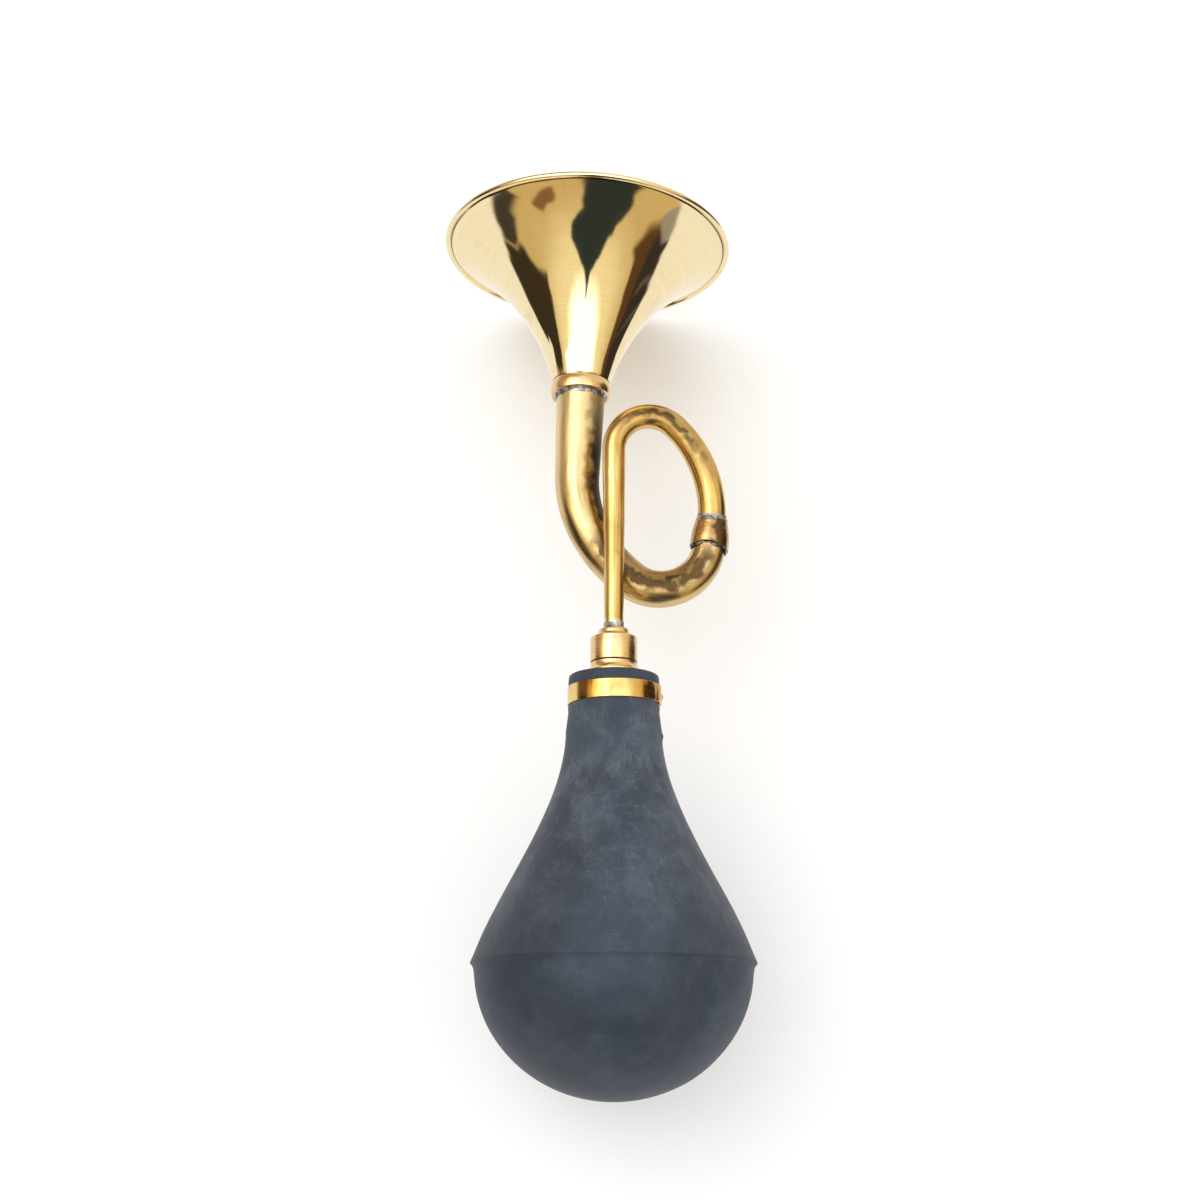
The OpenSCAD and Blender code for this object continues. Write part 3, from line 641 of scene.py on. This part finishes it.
def bend_bump(l, a):
    seam = math.exp(-((a - seam_angle(l)) / BRAZE_HALF) ** 2)
    rough = 0.5 + 0.5 * wave(l, 11.0, 2.0, 0.9)
    dents = BEND_DENT * wave(l, 6 * math.cos(a), 6 * math.sin(a), 0.12)
    return BRAZE_H * seam * rough + dents


def stem_bump(l, a):
    return STEM_DENT * wave(l, 5 * math.cos(a), 5 * math.sin(a) + 40, 0.10)


def stations(start, end, step):
    count = math.ceil((end - start) / step)
    return [start + (end - start) * i / count for i in range(count + 1)]


bend_stations = stations(SLEEVE_MID + SEAT_GAP, TUBE_END + RING_L - BEND_SHORT, TUBE_STEP)
bend = sweep("thick_tube", bend_stations, bend_r, TUBE_T, bend_brass, bend_bump, sides=96)
finish_piece(bend, "horn", "tube_brass", "bend_tube")
stem_stations = stations(0.0, SLEEVE_MID - SEAT_GAP, TUBE_STEP)
stem = sweep("thin_tube", stem_stations, stem_r, TUBE_T, stem_brass, stem_bump)
finish_piece(stem, "horn", "tube_brass", "stem_tube")

# Sleeve with its two runs of solder
sleeve_reach = SLEEVE_L / 2
fillet_reach = sleeve_reach + SLEEVE_FILLET_L
SLEEVE_DIP, SLEEVE_STEP, SLEEVE_DENT = 2.4, 0.25, 0.10


def leave(d, r):
    """How far the bent tube has left the sleeve's straight line at a distance d from its middle."""
    return max(0.0, d - SLEEVE_RUN / 2) ** 2 / (2 * r)


sleeve_low_bore = bend_r(SLEEVE_MID + fillet_reach) + leave(fillet_reach, BOTTOM_R) + 4 * SEAT_GAP
sleeve_top_bore = stem_r(SLEEVE_MID - fillet_reach) + leave(fillet_reach, SIDE_R) + 2 * SEAT_GAP
sleeve_stem_bore = STEM_END_R + SEAT_GAP


def sleeve_r(l):
    """Outer radius of the sleeve: a barrel that is narrow at the stem and full at the thick tube."""
    full_at, edge_l, edge_start, edge_drop = 0.8, 0.4, 0.35, 0.25
    u = min(1.0, max(0.0, (l - SLEEVE_MID + sleeve_reach) / (full_at * SLEEVE_L)))
    edge = min(1.0, (sleeve_reach - abs(l - SLEEVE_MID)) / edge_l + edge_start)
    barrel = SLEEVE_END_R + (SLEEVE_R - SLEEVE_END_R) * math.sin(math.pi / 2 * u)
    return barrel - edge_drop * (1 - edge) ** 2


def sleeve_bump(l, a):
    return -SLEEVE_DENT * abs(wave(4 * math.cos(a), 4 * math.sin(a), l, 0.5))


def sleeve_slide(l, a):
    """The sleeve's lower end is cut back at the top."""
    return -SLEEVE_DIP * top_lift(a) * ((l - SLEEVE_MID + sleeve_reach) / SLEEVE_L) ** 2


sleeve_wall = SLEEVE_END_R - sleeve_stem_bore - 2 * SEAT_GAP
sleeve_stations = stations(SLEEVE_MID - sleeve_reach, SLEEVE_MID + sleeve_reach, SLEEVE_STEP)
sleeve = sweep("sleeve", sleeve_stations, sleeve_r, sleeve_wall, sleeve_brass, sleeve_bump,
               sides=128, slide=sleeve_slide)
finish_piece(sleeve, "horn", "fitting_brass", "loop_sleeve")
solder_fillet("solder_sleeve_top", sleeve_top_bore, SLEEVE_END_R, sleeve_top_bore + SEAT_GAP,
              SLEEVE_FILLET_L, tube_frame(SLEEVE_MID - sleeve_reach), flip=-1, seed=8.1,
              node="sleeve_solder_upper", spread=1.3)
solder_fillet("solder_sleeve_low", sleeve_low_bore, SLEEVE_R, sleeve_low_bore + SEAT_GAP,
              SLEEVE_FILLET_L, tube_frame(SLEEVE_MID + sleeve_reach), flip=1, seed=5.3,
              node="sleeve_solder_lower", spread=0.6, material=dark_solder, dip=SLEEVE_DIP)

# Cap of the union, with the solder at the foot of the stem
STEM_FILLET_L, STEM_FILLET_T, CAP_EDGE = 3.0, 0.5, 0.25
stem_bore = stem_r(STEM_SEAT + STEM_FILLET_L) + SEAT_GAP
thread_bore = THREAD_R + SEAT_GAP
stem_inside = STEM_FOOT_R - TUBE_T
boss_centre = (CAP_BOSS_R - CAP_BOSS_EDGE, CAP_TOP - CAP_BOSS_EDGE)
cap_profile = [(thread_bore, WASHER_TOP), (CAP_R, WASHER_TOP)]
cap_profile += [(CAP_R, CAP_SHOULDER), (CAP_BOSS_R, CAP_SHOULDER + CAP_SLOPE_H)]
cap_profile += quarter(boss_centre, CAP_BOSS_EDGE, CAP_BOSS_EDGE, 0, 90, 8)
cap_profile += [(stem_bore, CAP_TOP), (stem_bore, STEM_FOOT - SEAT_GAP), (stem_inside, STEM_FOOT - SEAT_GAP)]
cap_profile += [(stem_inside, CAP_ROOF), (thread_bore, CAP_ROOF)]
cap = revolve("cap", soften(cap_profile, CAP_EDGE), axis_frame(), fitting_brass, segments=128)
finish_piece(cap, "horn", "fitting_brass", "reed_cap")
solder_fillet("solder_stem", stem_bore, STEM_FOOT_R + STEM_FILLET_T, stem_bore + 2 * SEAT_GAP,
              STEM_FILLET_L, axis_frame(CAP_TOP), flip=1, seed=1.9, node="stem_solder")

# Washer
WASHER_EDGE = 0.25
washer_side = CAP_R - WASHER_EDGE
washer_profile = [(thread_bore, COLLAR_TOP), (washer_side, COLLAR_TOP)]
washer_profile += [(CAP_R - SEAT_GAP, (COLLAR_TOP + WASHER_TOP) / 2)]
washer_profile += [(washer_side, WASHER_TOP), (thread_bore, WASHER_TOP)]
washer = revolve("washer", washer_profile, axis_frame(), leather, segments=96)
finish_piece(washer, "washer", "washer_leather", "union_washer")

# Plug: barbs in the rubber, flared collar and the threaded spigot
BARB_COUNT, BARB_RISE = 3, 0.7
barb_l = (LIP_BOTTOM - NECK_ROOT) / BARB_COUNT
plug_profile = [(PLUG_BORE_R, NECK_ROOT)]
for i in range(BARB_COUNT):
    barb_start = NECK_ROOT + i * barb_l
    plug_profile += [(PLUG_R - BARB_H, barb_start), (PLUG_R, barb_start + BARB_RISE * barb_l)]
    plug_profile += [(PLUG_R, barb_start + barb_l)]
plug_profile += [(WAIST_R, LIP_BOTTOM), (WAIST_R, NECK_TOP), (COLLAR_FOOT_R, NECK_TOP)]
COLLAR_EDGE, FLARE_POWER, FLARE_STEPS = 0.3, 2.6, 10
flare_low, flare_high = COLLAR_TOP - 1.5 * COLLAR_FLARE_L, COLLAR_TOP - COLLAR_EDGE
for i in range(FLARE_STEPS + 1):
    u = 1 - i / FLARE_STEPS
    flare_r = COLLAR_R + (COLLAR_FOOT_R - COLLAR_R) * u ** FLARE_POWER
    plug_profile += [(flare_r, flare_high + (flare_low - flare_high) * u)]
plug_profile += [(COLLAR_R, COLLAR_TOP)]
spigot = fine([(THREAD_R, COLLAR_TOP), (THREAD_R, THREAD_END)], 0.1)
plug_profile += spigot + [(PLUG_BORE_R, THREAD_END)]
THREAD_RELIEF, THREAD_LEAD, THREAD_DEPTH, THREAD_FADE = 0.6, 0.3, 0.5, 0.5
thread_start, thread_stop = COLLAR_TOP + THREAD_RELIEF, THREAD_END - THREAD_LEAD


def thread_shape(a, r, z):
    """Cuts a helical thread into the spigot, which fades out at both ends."""
    if abs(r - THREAD_R) > TINY or not thread_start < z < thread_stop:
        return r, z
    turn = ((z / THREAD_PITCH - a / (2 * math.pi)) % 1.0) - 0.5
    fade = min(1.0, (z - thread_start) / THREAD_FADE, (thread_stop - z) / THREAD_FADE)
    return r - THREAD_DEPTH * fade * (1 - 2 * abs(turn)), z


plug = revolve("plug", plug_profile, axis_frame(), fitting_brass, segments=128, shape=thread_shape,
               sharp=35.0)
finish_piece(plug, "bulb_head", "fitting_brass", "neck_plug")

# Band round the neck: one strip whose end laps over its start, set a little crooked, with its rivet
band_place = axis_frame(BAND_TOP - BAND_W)
band_r = NECK_R + SEAT_GAP
BAND_STEPS, BAND_EDGE, BAND_CROOK, BAND_END_TRIM = 260, 0.16, math.radians(0.8), 0.97
CLIMB_BACK, CLIMB_L, LAP_CLEAR = 0.30, 0.28, 0.02
lap_start = math.radians(LAP_TURN)
band_turn = 2 * math.pi + math.radians(LAP_ANGLE)
band_rings = []
band_lengths = []
band_section = soften([(0.0, 0.0), (BAND_T, 0.0), (BAND_T, BAND_W), (0.0, BAND_W)], BAND_EDGE)


def rise(u):
    """How far the strip has climbed onto its own start, after it has gone round by an angle of u."""
    climb = min(1.0, max(0.0, (u - (2 * math.pi - CLIMB_BACK)) / CLIMB_L))
    return (BAND_T + LAP_CLEAR) * climb * climb * (3 - 2 * climb)


p0, t0, n0, b0 = band_place
for k in range(BAND_STEPS + 1):
    u = band_turn * k / BAND_STEPS
    a = lap_start + math.radians(LAP_ANGLE) - u
    end_round = 1.0 if k not in (0, BAND_STEPS) else BAND_END_TRIM
    ring = []
    for r, z in band_section:
        rr = band_r + rise(u) + r
        zz = BAND_W / 2 + (z - BAND_W / 2) * end_round + rr * math.cos(a) * math.tan(BAND_CROOK)
        ring.append(p0 + t0 * zz + (n0 * math.cos(a) + b0 * math.sin(a)) * rr)
    band_rings.append(ring)
    band_lengths.append(u * band_r * UV_PER_MM)
verts, faces, uvs = skin_rings(band_rings, False, band_lengths)
faces += [tuple(range(len(band_section) - 1, -1, -1))]
faces += [tuple(range(len(verts) - len(band_section), len(verts)))]
uvs += [tuple((0.0, 0.0) for _ in band_section)] * 2
band = make_object("band", verts, faces, uvs, band_brass)
finish_piece(band, "bulb_head", "band_brass", "neck_band")
rivet_a = lap_start + math.radians(LAP_ANGLE / 2)
rivet_out = n0 * math.cos(rivet_a) + b0 * math.sin(rivet_a)
rivet_side = n0 * -math.sin(rivet_a) + b0 * math.cos(rivet_a)
rivet_place = (p0 + t0 * (BAND_W / 2) + rivet_out * (band_r + 2 * BAND_T), rivet_out, rivet_side, t0)
rivet_profile = quarter((0.0, 0.0), RIVET_R, RIVET_H, 0, 90, 10)[:-1] + [(0.0, RIVET_H)]
rivet = revolve("rivet", [(0.0, 0.0)] + rivet_profile, rivet_place, band_brass, segments=48, closed=False)
finish_piece(rivet, "bulb_head", "band_brass", "band_rivet")

# Rubber bulb: one moulding from the lip over the plug to the dome, with a ridge at its seam
seam_front = SEAM_W / 2
shoulder_curve = [(BULB_R, seam_front), (BULB_R - BELLY_DRAW, seam_front + BELLY_L),
                  (NECK_ROOT_R, NECK_ROOT - FLARE_L), (NECK_ROOT_R, NECK_ROOT)]
SHOULDER_STEPS = 150
shoulder = [tuple(bezier(shoulder_curve, 1 - i / SHOULDER_STEPS)) for i in range(SHOULDER_STEPS + 1)]
lip_edge = quarter((NECK_R - NECK_EDGE_R, NECK_TOP - NECK_EDGE_R), NECK_EDGE_R, NECK_EDGE_R, 90, 0, 8)
neck_side = fine([lip_edge[-1], (NECK_R, NECK_START), shoulder[0]], 0.6)
seam_run = fine([(BULB_R, seam_front), (BULB_R, 0.0), (BULB_R, -seam_front)], 0.1)
RIDGE_FRONT, RIDGE_REAR, RIDGE_TIP = 3.2, 1.0, 0.3
dome = quarter((0.0, -seam_front), BULB_R, -DOME_L, 0, 90, 110)[:-1] + [(0.0, -seam_front - DOME_L)]
wall_in = BULB_R - RUBBER_T
dome_in = [(0.0, -seam_front - DOME_L + RUBBER_T)]
dome_in += quarter((0.0, -seam_front), wall_in, RUBBER_T - DOME_L, 90, 0, 30)[1:]
shoulder_in = [(r - RUBBER_T, s) for r, s in shoulder[::-5]]
lip_start = (WAIST_R + SEAT_GAP, NECK_TOP)
bulb_profile = [lip_start] + fine([lip_start, lip_edge[0]], 0.8)[1:]
bulb_profile += lip_edge[1:] + neck_side[1:] + shoulder[1:-1] + seam_run + dome[1:]
inner_profile = dome_in + shoulder_in + [(PLUG_R + SEAT_GAP, NECK_ROOT), (PLUG_R + SEAT_GAP, LIP_BOTTOM),
                                         (WAIST_R + SEAT_GAP, LIP_BOTTOM)]
BULB_UNEVEN, UNEVEN_SCALE, UNEVEN_FADE, UNEVEN_REACH = 0.22, 0.045, 30, 4
SKIN_NEAR, NECK_NEAR = 1.0, 0.3
PINCH_BELOW, PINCH_ABOVE, PINCH_AWAY, PINCH_W = 0.28, 0.18, 1.5, 0.9
PIP_PLACE, PIP_W, PIP_TURN, PIP_SPAN, PIP_H = 82.0, 1.3, 0.12, 0.07, 0.55


def hump(value, middle, width):
    return math.exp(-((value - middle) / width) ** 2)


def bulb_shape(a, r, s):
    """Unevenness of the moulding, the pinch at the band, the pip on the neck and the ridge of the seam."""
    x, z = r * math.cos(a), r * math.sin(a)
    if r < WAIST_R + SKIN_NEAR and s > NECK_ROOT - SKIN_NEAR:
        return r, s
    fade = min(1.0, max(0.0, (NECK_ROOT + UNEVEN_REACH - s) / UNEVEN_FADE))
    out = BULB_UNEVEN * wave(x, s, z, UNEVEN_SCALE) * fade
    if s > NECK_ROOT and r > NECK_R - NECK_NEAR:
        out += PINCH_BELOW * hump(s, BAND_TOP - BAND_W - PINCH_AWAY, PINCH_W)
        out += PINCH_ABOVE * hump(s, BAND_TOP + PINCH_AWAY, PINCH_W)
    out += PIP_H * hump(s, PIP_PLACE, PIP_W) * hump(a, PIP_TURN, PIP_SPAN)
    if r > NECK_R and math.hypot(r, s) > wall_in + SKIN_NEAR:
        out += SEAM_H * math.exp(-math.hypot(s, RIDGE_TIP) / (RIDGE_FRONT if s > 0 else RIDGE_REAR))
    return r + out, s


bulb = revolve("bulb", bulb_profile + inner_profile, axis_frame(), rubber, segments=224, shape=bulb_shape,
               sharp=50.0)
for vertex in bulb.data.vertices:
    vertex.co.z = max(0.0, vertex.co.z)
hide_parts("bulb_front", "bulb_rear")
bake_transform(bulb)

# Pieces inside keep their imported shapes
for node, material in (("rim_wire", steel), ("reed_shallot", reed_brass), ("reed_tongue", reed_brass),
                       ("reed_wedge", wood)):
    data = frame["nodes"][node].data
    data.materials.clear()
    data.materials.append(material)

# Camera at the photo's viewing angle, set in the horn's frame
CAMERA_ANGLE, CAMERA_DISTANCE, CAMERA_ROLL = math.radians(75.0), 760.8, 0.0027
CAMERA_TARGET, CAMERA_LENS, CAMERA_SENSOR = Vector((-5.2, 138.15, -15.37)), 60.0, 36.0
look = Vector((0, math.cos(CAMERA_ANGLE), -math.sin(CAMERA_ANGLE)))
upward = Vector((0, math.sin(CAMERA_ANGLE), math.cos(CAMERA_ANGLE)))
sideways = Vector((1, 0, 0))
eye = CAMERA_TARGET - look * CAMERA_DISTANCE
cam_x = (sideways + upward * CAMERA_ROLL).normalized()
cam_y = (upward - sideways * CAMERA_ROLL).normalized()
turn = Matrix((cam_x, cam_y, -look)).transposed().to_4x4()
cam_data = bpy.data.cameras.new("camera")
cam_data.lens = CAMERA_LENS
cam_data.sensor_width = CAMERA_SENSOR
cam_data.clip_start, cam_data.clip_end = 0.05, 20.0
camera = bpy.data.objects.new("camera", cam_data)
bpy.context.scene.collection.objects.link(camera)
camera.matrix_world = Matrix.Translation(in_row(eye)) @ HORN.to_3x3().to_4x4() @ turn
bpy.context.scene.camera = camera

# Floor: white with a soft shadow, and left out of the mirror of the brass, which shows the room instead
FLOOR_SIZE, FLOOR_DROP, SHADOW_REACH, FLOOR_GLOW, FLOOR_OWN_LIGHT = 12.0, 0.0003, 0.14, 1.15, 0.5
NEUTRAL_SHADE, WARM_SHADE = (0.75, 0.745, 0.73, 1.0), (0.72, 0.65, 0.54, 1.0)
FLOOR_WHITE, GLOW_WHITE = (0.95, 0.93, 0.89, 1.0), (1.0, 1.0, 1.0, 1.0)
bpy.ops.mesh.primitive_plane_add(size=FLOOR_SIZE, location=(0, 0, -FLOOR_DROP))
floor = bpy.context.object
floor.name = "floor"
floor_material, g, floor_shader = new_material("floor")
floor_shader.inputs["Roughness"].default_value = 0.9
floor_shader.inputs["Specular IOR Level"].default_value = 0.0
# Ambient occlusion darkens the floor's colour near the horn as painted shade, tinted warm on the brass side
# as painted light thrown off the brass.
near = g.add("ShaderNodeAmbientOcclusion", {"samples": 12}, Distance=SHADOW_REACH)
g.set(near, "Normal", g.add("ShaderNodeCombineXYZ", X=-0.45, Y=0.25, Z=0.85).outputs[0])
open_floor = g.step(near.outputs["AO"], 0.30, 0.95)
floor_spot = g.add("ShaderNodeSeparateXYZ")
g.set(floor_spot, "Vector", g.add("ShaderNodeTexCoord").outputs["Object"])
shade = g.mix(g.step(floor_spot.outputs["Y"], -0.06, 0.02), NEUTRAL_SHADE, WARM_SHADE)
g.set(floor_shader, "Base Color", g.mix(open_floor, shade, FLOOR_WHITE))
floor_path = g.add("ShaderNodeLightPath")
glow = g.add("ShaderNodeEmission", Strength=FLOOR_GLOW)
g.set(glow, "Color", g.mix(open_floor, shade, GLOW_WHITE))
to_camera = g.add("ShaderNodeMixShader")
g.set(to_camera, "0", g.math("MULTIPLY", floor_path.outputs["Is Camera Ray"], FLOOR_OWN_LIGHT))
g.set(to_camera, "1", floor_shader.outputs[0])
g.set(to_camera, "2", glow.outputs[0])
unmirrored = g.add("ShaderNodeMixShader")
g.set(unmirrored, "0", floor_path.outputs["Is Glossy Ray"])
g.set(unmirrored, "1", to_camera.outputs[0])
g.set(unmirrored, "2", g.add("ShaderNodeBsdfTransparent").outputs[0])
g.set(floor_material.node_tree.nodes["Material Output"], "Surface", unmirrored.outputs[0])
floor.data.materials.append(floor_material)

# World: white to the camera, plain soft light on the object, and a plain room in the mirror of the brass
world = bpy.data.worlds.new("studio")
bpy.context.scene.world = world
world.use_nodes = True
w = Nodes(world.node_tree)
background = world.node_tree.nodes["Background"]
direction = w.add("ShaderNodeTexCoord").outputs["Generated"]
parts = w.add("ShaderNodeSeparateXYZ", Vector=direction)
degrees = 180 / math.pi
azimuth = w.math("MULTIPLY", w.math("ARCTAN2", parts.outputs["X"], parts.outputs["Y"]), degrees)
elevation = w.math("MULTIPLY", w.math("ARCSINE", parts.outputs["Z"]), degrees)
AZ_WOBBLE, EL_WOBBLE = 2.2, 1.5
az_noise = w.noise(direction, 4.0, 1.0)
el_noise = w.noise(w.scaled(direction, (1.0, 1.0, -1.0)), 5.0, 1.0)
azimuth = w.math("ADD", azimuth, w.step(az_noise, 0.3, 0.7, -AZ_WOBBLE, AZ_WOBBLE))
elevation = w.math("ADD", elevation, w.step(el_noise, 0.3, 0.7, -EL_WOBBLE, EL_WOBBLE))
side = w.math("ABSOLUTE", azimuth)
full_turn = w.math("MULTIPLY", w.math("GREATER_THAN", azimuth, 0.0), 360.0)
left_of_back = w.math("SUBTRACT", w.math("ADD", azimuth, 180.0), full_turn)


def area(az_low, az_high, az_soft, el_low, el_high, el_soft):
    """A soft-edged patch of the room, by azimuth and elevation in degrees."""
    across = w.window(azimuth, az_low, az_high, az_soft)
    return w.math("MULTIPLY", across, w.window(elevation, el_low, el_high, el_soft))


WALL_LOW, WALL_HIGH = (0.66, 0.50, 0.24, 1.0), (1.0, 0.88, 0.58, 1.0)
CEILING_BACK, CEILING_FRONT = (2.1, 2.1, 2.05, 1.0), (1.5, 1.5, 1.46, 1.0)
FRONT_LEFT, FRONT_RIGHT = (0.40, 0.28, 0.14, 1.0), (0.95, 0.87, 0.68, 1.0)
CARD_DARK, TABLE_WHITE = (0.028, 0.040, 0.040, 1.0), (1.0, 0.985, 0.95, 1.0)
PLAIN_WHITE = (1.0, 1.0, 1.0, 1.0)
room = w.mix(w.step(elevation, 6.0, 40.0), WALL_LOW, WALL_HIGH)
ceiling = w.mix(w.step(parts.outputs["Y"], -0.10, 0.15), CEILING_BACK, CEILING_FRONT)
room = w.mix(w.step(elevation, 42.0, 58.0), room, ceiling)
front = w.mix(w.step(azimuth, -20.0, 25.0), FRONT_LEFT, FRONT_RIGHT)
in_front = w.math("MULTIPLY", w.step(side, 60.0, 84.0, 1.0, 0.0), w.step(elevation, 44.0, 66.0, 1.0, 0.0))
room = w.mix(in_front, room, front)
# Plain patches, laid in this order: low and high azimuth, softness, low and high elevation, softness, colour
ROOM_PATCHES = [
    (-86.0, -30.0, 4.0, -60.0, 17.0, 4.0, (0.48, 0.37, 0.24, 1.0)),
    (-123.0, -82.0, 2.0, -60.0, 20.0, 2.0, (0.045, 0.033, 0.020, 1.0)),
    (70.0, 141.0, 3.0, -60.0, 12.0, 2.0, (0.11, 0.052, 0.022, 1.0)),
    (66.0, 134.0, 3.0, -60.0, -1.0, 2.0, (0.040, 0.032, 0.030, 1.0)),
    (99.0, 102.0, 1.0, -60.0, -6.0, 2.0, (0.09, 0.08, 0.08, 1.0)),
    (114.0, 118.0, 1.0, -60.0, -6.0, 2.0, (0.11, 0.10, 0.10, 1.0)),
    (132.0, 143.0, 1.0, -30.0, -7.0, 1.0, (0.36, 0.33, 0.31, 1.0)),
    (-146.0, -124.0, 1.0, -18.0, -5.0, 2.0, (0.06, 0.05, 0.04, 1.0)),
    (-163.0, -148.0, 1.0, 4.0, 10.0, 1.0, (0.26, 0.13, 0.06, 1.0)),
]
for *edges, patch_colour in ROOM_PATCHES:
    room = w.mix(area(*edges), room, patch_colour)
# A dark card behind the horn, which widens a little and then narrows upwards
card_wide = w.step(elevation, 17.0, 25.0, 13.0, 18.5)
card_half = w.math("SUBTRACT", card_wide, w.step(elevation, 27.0, 52.0, 0.0, 16.8))
card_middle = w.step(elevation, 17.0, 30.0, -8.0, -1.0)
from_card = w.math("ABSOLUTE", w.math("SUBTRACT", left_of_back, card_middle))
card = w.step(w.math("SUBTRACT", from_card, card_half), -1.5, 1.5, 1.0, 0.0)
card = w.math("MULTIPLY", card, w.window(elevation, -60.0, 56.0, 2.0))
room = w.mix(card, room, CARD_DARK)
# The white table, whose edge lies lowest in front, and higher at the back and on the left
table_drop = w.math("MULTIPLY", w.math("MAXIMUM", w.math("SUBTRACT", 125.0, side), 0.0), 0.38)
table_edge = w.math("ADD", w.math("MINIMUM", table_drop, 18.0), 15.0)
table_edge = w.math("SUBTRACT", table_edge, w.math("MULTIPLY", w.window(azimuth, -90.0, -20.0, 2.0), 22.0))
above_table = w.math("ADD", elevation, table_edge)
room = w.mix(w.step(above_table, -1.5, 1.5, 1.0, 0.0), room, TABLE_WHITE)
light_path = w.add("ShaderNodeLightPath")
LEFT_LIGHT, RIGHT_LIGHT = (0.80, 0.80, 0.81, 1.0), (1.55, 1.55, 1.57, 1.0)
plain_light = w.mix(w.step(parts.outputs["X"], 0.0, 0.9), LEFT_LIGHT, RIGHT_LIGHT)
seen = w.mix(light_path.outputs["Is Glossy Ray"], plain_light, room)
seen = w.mix(light_path.outputs["Is Camera Ray"], seen, PLAIN_WHITE)
w.set(background, "Color", seen)
background.inputs["Strength"].default_value = 1.0


def softbox(name, place, size, power, colour):
    lamp = bpy.data.lights.new(name, "AREA")
    lamp.shape = "SQUARE"
    lamp.size = size
    lamp.energy = power
    lamp.color = colour
    obj = bpy.data.objects.new(name, lamp)
    bpy.context.scene.collection.objects.link(obj)
    obj.location = place
    obj.rotation_euler = (-Vector(place)).to_track_quat("-Z", "Y").to_euler()


softbox("key", place=(-0.9, 0.35, 1.5), size=1.3, power=9.0, colour=(1.0, 0.98, 0.95))
bpy.context.scene.view_settings.view_transform = "Standard"
